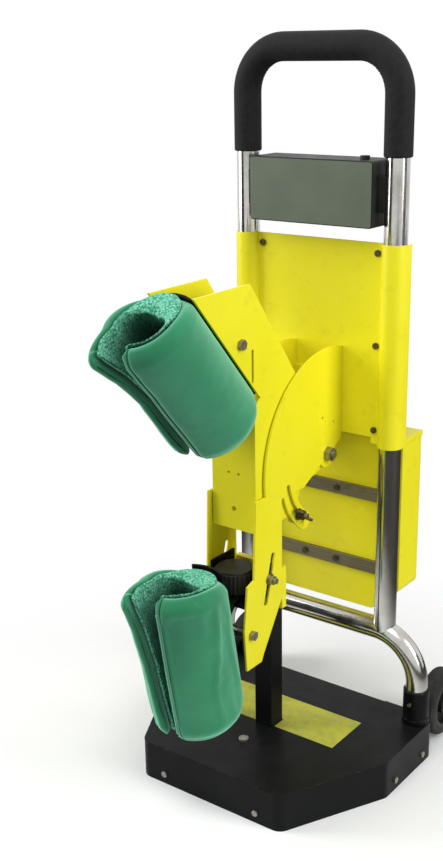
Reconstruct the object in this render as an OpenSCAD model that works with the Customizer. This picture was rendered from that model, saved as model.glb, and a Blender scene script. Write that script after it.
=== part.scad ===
// Escalator handrail cleaning machine: a standing trolley whose two padded sleeves
// wipe the handrail that runs through them.
// +Z is up, the sleeves point to -Y, and the origin is the centre of the base's underside.

/* [Frame tubes] */
// Outside diameter of the frame tubes
tube_d = 32; // [28:1:34]
// Wall of the frame tubes
tube_wall = 2; // [1.5:0.5:3]
// Overall height, to the top of the grip
overall_h = 1016; // [990:1:1060]
// Bend radius of the handle at the tube's centre line
handle_bend_r = 60; // [50:1:75]
// Distance from the base's side to the centre line of a leg
leg_inset = 21; // [20:1:27]
// Bend radius of the legs at the tube's centre line
leg_bend_r = 70; // [55:1:74]
// Height of the leg hoop's cross tube at its centre line
leg_bar_z = 188; // [180:1:192]
// Distance from the plane of the tubes to the base's back edge
tube_setback = 20; // [19:1:24]

/* [Grip] */
// Wall of the foam grip
grip_wall = 3; // [2:0.5:4]
// Length of the grip's straight ends, below the bends
grip_leg = 77; // [60:1:80]

/* [Base] */
// Width of the base
base_w = 390; // [384:1:410]
// Depth of the base
base_d = 292; // [288:1:300]
// Height of the base
base_h = 57; // [52:1:70]
// Width of the base's front edge
base_front_w = 236; // [200:1:260]
// Depth of the straight part of the base's sides
base_side_d = 141; // [130:1:150]
// Radius of the base's upright corners
base_corner_r = 18; // [10:1:24]
// Sheet of the base's cover
base_wall = 2; // [1.5:0.5:3]
// Thickness of the base's floor plate
floor_t = 3; // [2:0.5:5]
// Height of one ballast block
ballast_h = 36; // [25:1:40]

/* [Wheels] */
// Outside diameter of the tyres
tyre_d = 100; // [90:1:106]
// Width of the tyres
tyre_w = 28; // [24:1:30]
// Thickness of the tyres' rubber
tyre_t = 12; // [8:1:16]
// Diameter of the wheel axle
axle_d = 12; // [10:1:14]
// Clearance from the tyres to the ground
tyre_lift = 4; // [2:1:8]

/* [Back panel] */
// Height of the panel's lower edge
panel_low_z = 469; // [466:1:474]
// Gap between the panel and the control box above it
panel_gap = 21; // [12:1:30]
// Sheet of the panel
panel_t = 1.5; // [1:0.25:2]

/* [Control box] */
// Width of the control box
box_w = 193; // [180:1:196]
// Height of the control box
box_h = 86; // [70:1:90]
// Depth of the control box with its cover
box_d = 58; // [50:1:64]
// Distance from the grip's ends down to the control box's top
box_drop = 4; // [2:1:10]
// Gap between the control box and the tube beside it
box_gap = 6; // [4:1:8]
// Wall of the control box
box_wall = 2.5; // [2:0.25:3.5]
// Diameter of the push button
button_d = 13; // [10:1:16]

/* [Rear box] */
// Width of the rear box
tank_w = 260; // [240:1:266]
// Depth of the rear box
tank_d = 54; // [46:1:60]
// Height of the rear box's rim
tank_top_z = 470; // [460:1:474]
// Height of the rear box's lower side corners
tank_corner_z = 245; // [235:1:260]
// Height of the rear box's underside
tank_low_z = 207; // [205:1:215]
// Sheet of the rear box and its lid
tank_t = 1.5; // [1:0.25:2.5]

/* [Crossbars] */
// Height of the flat crossbars' section
bar_h = 19; // [14:1:24]
// Thickness of the crossbars
bar_t = 6; // [4:0.5:8]
// Height of the lower crossbar at its middle
bar_low_z = 275; // [265:1:285]
// Height of the upper crossbar at its middle
bar_high_z = 387; // [375:1:395]

/* [Post] */
// Side of the square post
post_w = 28; // [24:1:30]
// Wall of the square post
post_wall = 2; // [1.5:0.5:3]
// Height of the post's top
post_top_z = 350; // [340:1:354]

/* [Bracket] */
// Sheet of the side plates and of the upper arm
plate_t = 3; // [2:0.5:3.5]
// Clear width between the two side plates
bracket_w = 74; // [72:1:80]
// Distance from the panel's face to the pivot
pivot_setback = 36; // [32:1:40]
// Height of the pivot
pivot_z = 455; // [450:1:458]
// Radius of the side plates' round sector
sector_r = 152; // [145:1:155]
// Diameter of the pivot bolt
pivot_d = 12; // [10:1:14]
// Radius of the curved clamp slot
clamp_r = 100; // [94:1:104]
// Diameter of the clamp rod
clamp_d = 8; // [6:1:10]
// Width of the side plates' lower arm
lower_arm_w = 60; // [58:1:64]
// Distance from the pivot to the web of the upper arm
web_reach = 167; // [162:1:172]
// Height of the upper arm's top edge above the pivot
arm_top_rise = 267; // [250:1:280]

/* [Sleeves] */
// Outside radius of the sleeves
sleeve_r = 60; // [56:1:62]
// Thickness of the padded cover
cover_t = 17; // [14:0.5:19]
// Thickness of the terry lining
lining_t = 8; // [5:0.5:10]
// Length of the sleeves
sleeve_l = 212; // [204:1:216]
// Angle of the slit along a sleeve's front
slit_angle = 38; // [34:1:46]
// Turn of the slit from straight ahead towards -X
slit_turn = 12; // [0:1:16]
// Forward lean of the upper sleeve
upper_lean = 41.5; // [38:0.5:43]
// Forward lean of the lower sleeve
lower_lean = 10.5; // [8:0.5:13]
// Distance from the pivot forward to the upper sleeve's middle
upper_reach = 258; // [255:1:264]
// Height of the upper sleeve's middle above the pivot
upper_rise = 155; // [150:1:160]
// Distance from the knob's axis forward to the lower sleeve's middle
lower_reach = 99; // [97:1:103]
// Drop from the slot's middle to the lower sleeve's middle
lower_drop = 68; // [64:1:76]
// Distance from the middle of the upper sleeve's holder up to the sleeve's own middle
upper_slip = 17; // [14:1:19]
// Distance from the middle of the lower sleeve's holder up to the sleeve's own middle
lower_slip = 4; // [0:1:8]
// Length of the curved holders
holder_l = 192; // [186:1:196]
// Thickness of the curved holders
holder_t = 3; // [2:0.5:4]
// Half angle that a holder covers behind its sleeve
holder_angle = 24; // [20:1:30]

/* [Lower slide] */
// Lean of the slot from upright
slot_lean = 15; // [10:1:18]
// Distance between the centres of the slot's round ends
slot_l = 66; // [62:1:70]
// Diameter of the slot bolts
slot_bolt_d = 8; // [6:1:9]
// Diameter of the knurled knob
knob_d = 57; // [48:1:58]
// Height of the knurled knob
knob_h = 30; // [24:1:32]
// Diameter of the knob's stud
stud_d = 10; // [8:1:12]

/* [Hidden] */
$fn = 64;

// Overrun of a cut past the face that it opens
cut = 2;
// Play of pieces that are fastened together, on each side
fit = 0.2;
// Running clearance of a pin in its bore, on the radius
run = 0.05;
// Gap between plates that swing or slide past each other
play = 0.5;
// Segments of a rounded corner
arc_steps = 6;
// Sides of a groove in the knob
rib_sides = 16;
// Degrees of a whole turn
whole_turn = 360;

// Screws and bolts
screw_d = 5;
screw_head_d = 9;
screw_head_h = 2.5;
nut_share = 1.75;
nut_h_share = 0.75;
washer_t = 1.5;

// Frame
tube_r = tube_d / 2;
bore_r = tube_r - tube_wall;
upright_pitch = box_w + 2 * box_gap + tube_d;
upright_x = upright_pitch / 2;
leg_x = base_w / 2 - leg_inset;
base_back_y = base_d / 2;
tube_y = base_back_y - tube_setback;
handle_z = overall_h - tube_r - grip_wall;
grip_end_z = handle_z - handle_bend_r - grip_leg;
leg_end_z = base_h + base_wall;

// Base
base_points = [[-base_front_w / 2, -base_back_y], [base_front_w / 2, -base_back_y],
    [base_w / 2, base_back_y - base_side_d], [base_w / 2, base_back_y],
    [-base_w / 2, base_back_y], [-base_w / 2, base_back_y - base_side_d]];
base_top_z = base_h - base_wall;
base_screw_z = 15.6;
base_screw_x = 79;
base_screw_side_shares = [0.18, 0.74];
base_lug = 14;
base_lug_h = 22;
ballast_w = 200;
ballast_d = 78;
ballast_gap = 92;
cover_bolt_setback = 83;
cover_bolt_y = cover_bolt_setback - base_back_y;
cover_bolt_d = 8;
cover_boss_d = 20;
label_w = 228;
label_d = 80;
label_y = 32;
label_t = 0.6;
label_notch = 1.5;

// Leg sockets
socket_wall = 3;
socket_d = tube_d + 2 * socket_wall;
socket_h = 52;
socket_foot = 8;
socket_foot_d = min(socket_d + 2 * socket_wall, 2 * tube_setback);
socket_screw_share = 0.66;
socket_screw_z = base_h + socket_h * socket_screw_share;
socket_screw_l = 7;

// Wheels
wheel_x = leg_x;
wheel_gap = 4;
wheel_y = base_back_y + wheel_gap + tyre_d / 2;
wheel_z = tyre_d / 2 + tyre_lift;
hub_d = 34;
rim_d = tyre_d - 2 * tyre_t;
rim_t = 6;
web_t = 8;
bracket_leg_t = 5;
bracket_leg_h = 48;
bracket_foot_l = 44;
axle_play = 1;
axle_nut_d = 22;
axle_nut_h = 6;
axle_leg_x = wheel_x - tyre_w / 2 - axle_play - bracket_leg_t;

// Control box
box_z = grip_end_z - box_drop - box_h;
box_set = 28.5;
box_front_y = tube_y - box_set;
box_cover_t = 2.5;
box_inset = 1.5;
box_corner_r = 4;
button_inset = 24.5;
button_x = box_w / 2 - button_inset;
button_back = 24;
button_h = 5;
button_travel = 3;
button_skirt = 3;
battery_w = 120;
battery_d = 36;
battery_h = 46;
saddle_h = 46;
saddle_d = 26;

// Panel
panel_top_z = box_z - panel_gap;
panel_set = 1;
panel_y = tube_y - panel_set;
panel_bend_r = tube_r + 2 * fit;
panel_return = 12;
panel_notch_h = 9;
panel_notch_inset = 14;
panel_screw_low = 20;
panel_screw_top = 14;
panel_screw_zs = [panel_low_z + panel_screw_low, (panel_low_z + panel_top_z) / 2,
    panel_top_z - panel_screw_top];
tab_w = 26;
tab_h = 24;
tab_t = 3;
tab_x = upright_x - bore_r - tab_w;
tab_screw = 14.5;
panel_screw_x = tab_x + tab_screw;

// Rear box
tank_y = tube_y + tube_r + 2 * fit;
tank_low_w = 174;
tank_corner_r = 12;
lid_h = 7;
lid_lip = 2;
hinge_d = 4;
hinge_wall = 2.5;
hinge_z = tank_top_z + fit + hinge_d / 2 + hinge_wall;
hinge_y = tank_y + tank_d + hinge_d / 2 + hinge_wall + fit;
knuckle_l = 30;
knuckle_x = 70;
crossbar_screw_x = 27;

// Post
post_foot_w = 84;
post_foot_t = 6;
post_foot_bolt = 30;
post_foot_bolt_d = 8;
post_plate_t = 10;
post_plate_h = 62;
post_plate_drop = 28;
post_plate_low_z = post_top_z - post_plate_drop - post_plate_h;
post_plate_bolt_shares = [0.26, 0.71];
post_plate_bolt_zs = [for (share = post_plate_bolt_shares) post_plate_low_z + share * post_plate_h];
post_foot_z = floor_t + post_foot_t;

// Bracket
plate_x = bracket_w / 2;
cheek_gap = 2;
cheek_x = plate_x - cheek_gap - plate_t;
pivot_y = panel_y - pivot_setback;
boss_r = 20;
sector_drop = 33;
sector_rise = 13;
sector_heel = 60;
sector_low_z = pivot_z - sector_drop;
sector_rear_z = pivot_z + sector_rise;
sector_heel_y = pivot_y - sector_heel;
flange_w = 16;
flange_h = 84;
flange_rise = 27;
flange_low_z = pivot_z + flange_rise;
flange_screw_shares = [0.17, 0.83];
flange_screw_zs = [for (share = flange_screw_shares) flange_low_z + share * flange_h];
sector_hole_d = 4;
sector_hole_shares = [[-0.09, 0.36], [0.1, 0.28]];
clamp_angle = 222;
clamp_back_angle = 28;
clamp_front_angle = 8;
clamp_slot_spare = 1.5;
clamp_head_share = 2.1;
wing_turn = 38;
wing_l = 13;
wing_d = 14;
wing_t = 2.6;
band_end_share = 0.96;
lobe_w = 26;
lobe_spare = 6;
arm_rear_y = -post_w / 2 - post_plate_t;
arm_front_y = arm_rear_y - lower_arm_w;
ledge_drop = 19;
ledge_z = pivot_z - ledge_drop;
knee_drop = 73;
knee_z = post_top_z - knee_drop;
toe_reach = 20;
toe_kick = 8;
toe_w = 34;
toe_drop = 150;
toe_rise = 28;
toe_z = post_top_z - toe_drop;
toe_top_z = post_top_z - toe_rise;
toe_front_y = arm_front_y - toe_reach;
kick_drop = 90;
kick_y = toe_front_y - toe_kick;
kick_z = post_top_z - kick_drop;
toe_bevel = 5;
tie_inset = 16;
tie_drop = 100;
tie_y = kick_y + tie_inset;
tie_z = post_top_z - tie_drop;
tie_d = 8;
tie_spacer_d = 14;

// Lower slide
slot_inset = 30;
slot_drop = 34;
slot_y = arm_front_y + slot_inset;
slot_z = post_top_z - slot_drop;
slot_w = slot_bolt_d + 2 * fit;
knob_inset = 6;
knob_y = arm_front_y + knob_inset;
carriage_t = 4;
carriage_drop = 27;
carriage_rise = 20;
carriage_nose = 26;
carriage_gap = 9;
carriage_x = plate_x - play - plate_t;
carriage_low_z = slot_z - carriage_drop;
carriage_top_z = slot_z + carriage_rise;
carriage_rear_y = arm_rear_y - carriage_gap;
carriage_front_y = knob_y - carriage_nose;
tongue_t = 4;
tongue_w = 40;
tongue_tail = 14;
tongue_z = carriage_low_z + carriage_t + fit;
knob_washer_d = 30;
knob_washer_t = 6;
knob_z = tongue_z + tongue_t + knob_washer_t + 2 * fit;
knob_ribs = 30;
knob_rib_d = 3.2;
knob_cap_t = 3;
stud_share = 0.66;
stud_top_z = knob_z + knob_h * stud_share;

// Sleeves
lining_r = sleeve_r - cover_t - fit;
lining_short = 4;
hem_share = 0.94;
hem_lap = 20;
hem_sink_share = 0.1;
holder_r = sleeve_r + fit;
lug_reach = 10;
lug_back = holder_r + holder_t + lug_reach;
lug_drop = 11;
lug_pitch = 36;
lug_r = 9;
lug_bolt_d = 8;
seat_gap = 2;
seat_back = sqrt(sleeve_r * sleeve_r - cheek_x * cheek_x) + seat_gap;
upper_y = pivot_y - upper_reach;
upper_z = pivot_z + upper_rise;
lower_y = knob_y - lower_reach;
lower_z = slot_z - lower_drop;

// Upper arm
web_y = pivot_y - web_reach;
web_drop = 67;
web_low_z = pivot_z - web_drop;
arm_top_reach = 174;
arm_top_y = pivot_y - arm_top_reach;
arm_top_z = pivot_z + arm_top_rise;
ear_r = 14;
web_hole_d = 7;
web_hole_rise = 29;
web_pair_d = 4;
web_pair_x = 8;
web_pair_rise = 79;
holder_slot_back = 70;
holder_slot_down = 53;
holder_slot_l = 40;
holder_slot_w = 4;
clamp_at = [pivot_y + clamp_r * cos(clamp_angle), pivot_z + clamp_r * sin(clamp_angle)];

// Plane geometry
function unit(v) = v / norm(v);
function before(points, i) = points[(i + len(points) - 1) % len(points)];
function after(points, i) = points[(i + 1) % len(points)];
function half_angle(a, b, c) = acos(unit(a - b) * unit(c - b)) / 2;
function inset_corner(a, b, c, d) = b + unit(unit(a - b) + unit(c - b)) * d / sin(half_angle(a, b, c));
function inset(points, d) = [for (i = [0:len(points) - 1])
    inset_corner(before(points, i), points[i], after(points, i), d)];
function corner_arc(a, b, c, r) =
    let (
        reach = r / tan(half_angle(a, b, c)),
        mid = inset_corner(a, b, c, r),
        first = b + unit(a - b) * reach - mid,
        last = b + unit(c - b) * reach - mid,
        from = atan2(first[1], first[0]),
        turn = (atan2(last[1], last[0]) - from + 1.5 * whole_turn) % whole_turn - whole_turn / 2
    )
    [for (i = [0:arc_steps]) let (a = from + turn * i / arc_steps) mid + r * [cos(a), sin(a)]];
function rounded(points, r) = [for (i = [0:len(points) - 1])
    each corner_arc(before(points, i), points[i], after(points, i), r)];

// A point of the upper sleeve's side view: so far behind its axis, so far down along it
function behind_upper(back, down) = [
    upper_y + back * cos(upper_lean) + down * sin(upper_lean),
    upper_z + back * sin(upper_lean) - down * cos(upper_lean)];

// Extrudes a side view, drawn in Y and Z, along X
module side_view(x, t) {
    translate([x, 0, 0]) rotate([90, 0, 90]) linear_extrude(t) children();
}

module both_sides() {
    children();
    mirror([1, 0, 0]) children();
}

module rod_x(d, x0, x1, y, z) {
    translate([x0, y, z]) rotate([0, 90, 0]) cylinder(d = d, h = x1 - x0);
}

module rod_y(d, y0, y1, x, z) {
    translate([x, y1, z]) rotate([90, 0, 0]) cylinder(d = d, h = y1 - y0);
}

module slot(length, width) {
    square([length, width], center = true);
    for (side = [-1, 1]) translate([side * length / 2, 0]) circle(d = width);
}

// A band of a circle about the pivot, with round ends
module pivot_band(r, width, from, to) {
    reach = 2 * r;
    translate([pivot_y, pivot_z]) {
        intersection() {
            difference() {
                circle(r = r + width / 2);
                circle(r = r - width / 2);
            }
            polygon([[0, 0], for (a = [from, (from + to) / 2, to]) reach * [cos(a), sin(a)]]);
        }
        for (a = [from, to]) rotate(a) translate([r, 0]) circle(d = width * band_end_share);
    }
}

// A bent hoop of round bar: two straight ends, two quarter bends and a cross run
module hoop(r, half_pitch, bend_r, low_z, top_z) {
    both_sides() {
        translate([half_pitch, tube_y, low_z]) cylinder(r = r, h = top_z - bend_r - low_z);
        translate([half_pitch - bend_r, tube_y, top_z - bend_r]) rotate([90, 0, 0])
            rotate_extrude(angle = 90) translate([bend_r, 0]) circle(r = r);
        translate([0, tube_y, top_z]) rotate([0, 90, 0]) cylinder(r = r, h = half_pitch - bend_r);
    }
}

// Base
module base_cover() {
    color("#1e1e20") difference() {
        linear_extrude(base_h) polygon(rounded(base_points, base_corner_r));
        translate([0, 0, -cut]) linear_extrude(base_top_z + cut)
            polygon(rounded(inset(base_points, base_wall), base_corner_r - base_wall));
        translate([0, 0, base_h]) cube([post_w + 2 * fit, post_w + 2 * fit, 4 * base_wall], center = true);
        translate([0, cover_bolt_y, base_top_z - cut])
            cylinder(d = cover_bolt_d + 2 * fit, h = base_wall + 2 * cut);
        base_screw_places() rod_y(screw_d + 2 * fit, -cut, base_wall + cut, 0, 0);
    }
}

// Each place of a side screw, turned so that +Y points into the base
module base_screw_places() {
    for (side = [-1, 1]) {
        translate([side * base_screw_x, -base_back_y, base_screw_z]) children();
        for (share = base_screw_side_shares)
            translate([side * base_w / 2, base_back_y - base_side_d * (1 - share), base_screw_z])
                rotate(side * 90) children();
    }
}

module base_floor() {
    color("#2b2b2d") difference() {
        union() {
            linear_extrude(floor_t)
                polygon(rounded(inset(base_points, base_wall + fit), base_corner_r - base_wall - fit));
            base_screw_places() translate([-base_lug / 2, base_wall + fit, -base_screw_z])
                cube([base_lug, base_lug, base_lug_h]);
        }
        base_screw_places() rod_y(screw_d + 2 * fit, -cut, base_lug + 2 * cut, 0, 0);
        post_foot_bolt_places() translate([0, 0, -cut])
            cylinder(d = post_foot_bolt_d + 2 * fit, h = floor_t + 2 * cut);
    }
}

module ballast_blocks() {
    color("#4a4a4c") for (side = [-1, 1])
        difference() {
            translate([-ballast_w / 2, side * (ballast_gap + ballast_d) / 2 - ballast_d / 2, floor_t])
                cube([ballast_w, ballast_d, ballast_h]);
            translate([0, cover_bolt_y, floor_t - cut])
                cylinder(d = cover_bolt_d + 2 * fit, h = ballast_h + 2 * cut);
        }
}

module base_screws() {
    color("#8a8a8c") base_screw_places() {
        rod_y(screw_head_d, -screw_head_h, 0, 0, 0);
        rod_y(screw_d, -screw_head_h, base_lug, 0, 0);
    }
}

module cover_bolt() {
    boss_z = floor_t + ballast_h;
    color("#a8a8aa") translate([0, cover_bolt_y, 0]) {
        translate([0, 0, floor_t + ballast_h / 2])
            cylinder(d = cover_bolt_d, h = base_h - floor_t - ballast_h / 2);
        translate([0, 0, boss_z]) cylinder(d = cover_boss_d, h = base_top_z - boss_z);
        translate([0, 0, base_h]) cylinder(d = cover_bolt_d * nut_share, h = cover_bolt_d / 2);
    }
}

module label_plate() {
    notch = post_w + 2 * label_notch;
    color("#d8d23a") difference() {
        translate([-label_w / 2, label_y - label_d / 2, base_h]) cube([label_w, label_d, label_t]);
        translate([0, 0, base_h]) cube([notch, notch, 4 * label_t], center = true);
    }
}

// Leg sockets and frame tubes
module leg_socket() {
    difference() {
        union() {
            translate([leg_x, tube_y, base_h]) cylinder(d = socket_d, h = socket_h);
            translate([leg_x, tube_y, base_h]) cylinder(d = socket_foot_d, h = socket_foot);
        }
        translate([leg_x, tube_y, base_h + base_wall]) cylinder(r = tube_r + fit, h = socket_h + cut);
        rod_y(screw_d + 2 * fit, tube_y - socket_d, tube_y, leg_x, socket_screw_z);
    }
}

module leg_socket_left() {
    color("#202022") mirror([1, 0, 0]) leg_socket();
}

module leg_socket_right() {
    color("#202022") leg_socket();
}

module socket_screws() {
    face_y = tube_y - tube_r - 2 * fit;
    color("#8a8a8c") both_sides()
        rod_y(screw_d, face_y - socket_screw_l, face_y, leg_x, socket_screw_z);
}

module leg_hoop() {
    color("#c9c6bd") difference() {
        hoop(tube_r, leg_x, leg_bend_r, leg_end_z, leg_bar_z);
        hoop(bore_r, leg_x, leg_bend_r, leg_end_z - cut, leg_bar_z);
    }
}

module handle_hoop() {
    color("#c9c6bd") difference() {
        union() {
            hoop(tube_r, upright_x, handle_bend_r, leg_bar_z, handle_z);
            both_sides() for (z = panel_screw_zs)
                translate([tab_x, panel_y + panel_t, z - tab_h / 2])
                    cube([tab_w, tab_t, tab_h]);
        }
        hoop(bore_r, upright_x, handle_bend_r, leg_bar_z - cut, handle_z);
        hoop(tube_r + fit, leg_x, leg_bend_r, leg_end_z, leg_bar_z);
        panel_screw_places() rod_y(screw_d + 2 * fit, 0, panel_t + tab_t + cut, 0, 0);
    }
}

module handle_grip() {
    color("#232325") difference() {
        hoop(tube_r + grip_wall, upright_x, handle_bend_r, grip_end_z, handle_z);
        hoop(tube_r + fit, upright_x, handle_bend_r, grip_end_z - cut, handle_z);
    }
}

// Crossbars
module crossbar(z) {
    difference() {
        translate([-upright_x, tank_y - bar_t, z - bar_h / 2]) cube([upright_pitch, bar_t, bar_h]);
        both_sides() translate([upright_x, tube_y, z - bar_h]) cylinder(r = tube_r + fit, h = 2 * bar_h);
        for (side = [-1, 1])
            rod_y(screw_d + 2 * fit, tank_y - bar_t - cut, tank_y + cut, side * crossbar_screw_x, z);
    }
}

module crossbar_upper() {
    color("#5b5853") crossbar(bar_high_z);
}

module crossbar_lower() {
    color("#5b5853") crossbar(bar_low_z);
}

module crossbar_screws() {
    face_y = tank_y - bar_t;
    color("#3c3a38") for (z = [bar_low_z, bar_high_z], side = [-1, 1]) {
        rod_y(screw_head_d, face_y - screw_head_h, face_y, side * crossbar_screw_x, z);
        rod_y(screw_d, face_y - screw_head_h, tank_y + 3 * tank_t, side * crossbar_screw_x, z);
    }
}

// Back panel
module back_panel() {
    flat_x = upright_x - panel_bend_r;
    notch_x = flat_x - panel_notch_inset;
    color("#ebe42c") difference() {
        translate([0, 0, panel_low_z]) linear_extrude(panel_top_z - panel_low_z) {
            translate([-flat_x, panel_y]) square([2 * flat_x, panel_t]);
            both_sides() translate([upright_x, tube_y]) difference() {
                union() {
                    circle(r = panel_bend_r + panel_t);
                    translate([panel_bend_r, 0]) square([panel_t, panel_return]);
                }
                circle(r = panel_bend_r);
                translate([-2 * panel_bend_r, 0]) square([3 * panel_bend_r, 2 * panel_bend_r]);
            }
        }
        translate([-notch_x, panel_y - cut, panel_low_z - cut])
            cube([2 * notch_x, panel_t + 2 * cut, panel_notch_h + cut]);
        panel_screw_places() rod_y(screw_d + 2 * fit, -cut, panel_t + cut, 0, 0);
        both_sides() for (z = flange_screw_zs)
            rod_y(screw_d + 2 * fit, panel_y - cut, panel_y + panel_t + cut, plate_x - flange_w / 2, z);
    }
}

module panel_screw_places() {
    for (side = [-1, 1], z = panel_screw_zs) translate([side * panel_screw_x, panel_y, z]) children();
}

module panel_screws() {
    color("#4a463c") panel_screw_places() {
        rod_y(screw_head_d, -screw_head_h, 0, 0, 0);
        rod_y(screw_d, -screw_head_h, panel_t + 2 * tab_t, 0, 0);
    }
}

// Control box
module box_block(y, depth, margin) {
    half_w = box_w / 2 - margin;
    outline = [[-half_w, box_z + margin], [half_w, box_z + margin],
        [half_w, box_z + box_h - margin], [-half_w, box_z + box_h - margin]];
    translate([0, y + depth, 0]) rotate([90, 0, 0]) linear_extrude(depth)
        polygon(rounded(outline, max(box_corner_r - margin, box_wall / 2)));
}

module control_box() {
    inner_y = box_front_y + box_cover_t;
    color("#1b1b1d") difference() {
        box_block(inner_y, box_d - box_cover_t, 0);
        box_block(inner_y - cut, box_d - box_cover_t - box_wall + cut, box_wall);
        button_place() cylinder(d = button_d + 2 * run, h = 4 * box_wall, center = true);
    }
}

module control_cover() {
    color("#69715f") box_block(box_front_y, box_cover_t, box_inset);
}

// The middle of the button's hole, on the box's top face
module button_place() {
    translate([button_x, box_front_y + button_back, box_z + box_h]) children();
}

module control_button() {
    low = box_wall + button_travel + button_skirt;
    color("#2a2a2c") button_place() {
        translate([0, 0, -low]) cylinder(d = button_d, h = low + button_h);
        translate([0, 0, -box_wall - fit - button_skirt])
            cylinder(d = button_d + 2 * button_skirt, h = button_skirt);
    }
}

module battery_pack() {
    back_y = box_front_y + box_d - box_wall - fit;
    color("#3a5a86") translate([-battery_w / 2, back_y - battery_d, box_z + box_wall])
        cube([battery_w, battery_d, battery_h]);
}

module box_saddles() {
    color("#1b1b1d") both_sides() difference() {
        translate([box_w / 2, tube_y - saddle_d / 2, box_z + box_h / 2 - saddle_h / 2])
            cube([upright_x - box_w / 2, saddle_d, saddle_h]);
        translate([upright_x, tube_y, box_z]) cylinder(r = tube_r + fit, h = box_h);
    }
}

// Rear box
tank_points = [[-tank_low_w / 2, tank_low_z], [tank_low_w / 2, tank_low_z], [tank_w / 2, tank_corner_z],
    [tank_w / 2, tank_top_z], [-tank_w / 2, tank_top_z], [-tank_w / 2, tank_corner_z]];

module tank_block(y, depth, margin, rise) {
    points = inset(tank_points, margin);
    raised = [for (i = [0:len(points) - 1])
        (i == 3 || i == 4) ? [points[i][0], tank_top_z + rise] : points[i]];
    translate([0, y + depth, 0]) rotate([90, 0, 0]) linear_extrude(depth)
        polygon([for (i = [0:len(raised) - 1]) each (i == 3 || i == 4) ? [raised[i]]
            : corner_arc(before(raised, i), raised[i], after(raised, i), tank_corner_r)]);
}

module lid_knuckle(x, d) {
    rod_x(d, x - knuckle_l / 2, x + knuckle_l / 2, hinge_y, hinge_z);
}

module rear_box() {
    knuckle_d = hinge_d + 2 * hinge_wall;
    wall_y = tank_y + tank_d;
    color("#e6df28") difference() {
        union() {
            tank_block(tank_y, tank_d, 0, 0);
            for (side = [-1, 1])
                translate([side * knuckle_x - knuckle_l / 2, wall_y - tank_t, hinge_z - knuckle_d])
                    cube([knuckle_l, hinge_y - wall_y + tank_t, knuckle_d]);
            for (side = [-1, 1]) lid_knuckle(side * knuckle_x, knuckle_d);
        }
        tank_block(tank_y + tank_t, tank_d - 2 * tank_t, tank_t, cut);
        rod_x(hinge_d + 2 * run, -tank_w, tank_w, hinge_y, hinge_z);
        translate([-tank_w, tank_y - cut, tank_top_z]) cube([2 * tank_w, tank_d + cut + fit, 2 * knuckle_d]);
        for (z = [bar_low_z, bar_high_z], side = [-1, 1])
            rod_y(screw_d + 2 * fit, tank_y - cut, tank_y + tank_t + cut, side * crossbar_screw_x, z);
    }
}

module rear_box_lid() {
    knuckle_d = hinge_d + 2 * hinge_wall;
    lid_z = tank_top_z + fit;
    lid_w = tank_w + 2 * lid_lip;
    inner_x = knuckle_x - knuckle_l / 2 - play;
    color("#e6df28") difference() {
        union() {
            translate([-lid_w / 2, tank_y, lid_z]) cube([lid_w, tank_d, lid_h]);
            translate([-inner_x, tank_y + tank_d - tank_t, lid_z])
                cube([2 * inner_x, hinge_y - tank_y - tank_d + tank_t, lid_h - tank_t]);
            rod_x(knuckle_d, -inner_x, inner_x, hinge_y, hinge_z);
        }
        translate([-tank_w / 2 + tank_t, tank_y + tank_t, lid_z - cut])
            cube([tank_w - 2 * tank_t, tank_d - 2 * tank_t, lid_h - tank_t + cut]);
        rod_x(hinge_d + 2 * run, -tank_w, tank_w, hinge_y, hinge_z);
    }
}

module lid_hinge_pin() {
    reach = knuckle_x + knuckle_l / 2 + hinge_wall;
    color("#9a9a9a") rod_x(hinge_d, -reach, reach, hinge_y, hinge_z);
}

// Wheels
module stub_axles() {
    reach = wheel_x + tyre_w / 2 + axle_play + axle_nut_h;
    head_h = axle_d * nut_h_share;
    color("#8f8f91") both_sides() {
        rod_x(axle_d, axle_leg_x - head_h / 2, reach, wheel_y, wheel_z);
        hex_x(axle_d * nut_share, axle_leg_x - head_h, axle_leg_x, wheel_y, wheel_z);
    }
}

module axle_brackets() {
    leg_l = wheel_y + axle_d - base_back_y;
    low_z = wheel_z - bracket_leg_h / 2;
    color("#242426") both_sides() difference() {
        union() {
            translate([axle_leg_x, base_back_y, low_z]) cube([bracket_leg_t, leg_l, bracket_leg_h]);
            translate([axle_leg_x - bracket_foot_l, base_back_y, low_z])
                cube([bracket_foot_l, bracket_leg_t, base_top_z - low_z]);
        }
        rod_x(axle_d + 2 * run, 0, 2 * wheel_x, wheel_y, wheel_z);
    }
}

module axle_nuts() {
    start_x = wheel_x + tyre_w / 2 + axle_play;
    color("#b0b0b2") both_sides() difference() {
        rod_x(axle_nut_d, start_x, start_x + axle_nut_h, wheel_y, wheel_z);
        rod_x(axle_d + 2 * fit, start_x - cut, start_x + 2 * axle_nut_h, wheel_y, wheel_z);
    }
}

module wheel() {
    color("#3a3a3c") difference() {
        rod_x(rim_d, wheel_x - tyre_w / 2, wheel_x + tyre_w / 2, wheel_y, wheel_z);
        both_sides_of_wheel() difference() {
            rod_x(rim_d - 2 * rim_t, web_t / 2, tyre_w, 0, 0);
            rod_x(hub_d, 0, 2 * tyre_w, 0, 0);
        }
        rod_x(axle_d + 2 * run, 0, 2 * wheel_x, wheel_y, wheel_z);
    }
}

module both_sides_of_wheel() {
    translate([wheel_x, wheel_y, wheel_z]) both_sides() children();
}

module tyre() {
    shoulder = tyre_t / 2;
    color("#161617") translate([wheel_x, wheel_y, wheel_z]) rotate([0, 90, 0]) rotate_extrude() {
        translate([rim_d / 2 + fit, -tyre_w / 2]) square([tyre_t - fit - shoulder, tyre_w]);
        translate([tyre_d / 2 - shoulder, -tyre_w / 2 + shoulder]) square([shoulder, tyre_w - 2 * shoulder]);
        for (side = [-1, 1])
            translate([tyre_d / 2 - shoulder, side * (tyre_w / 2 - shoulder)]) circle(r = shoulder);
    }
}

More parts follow.
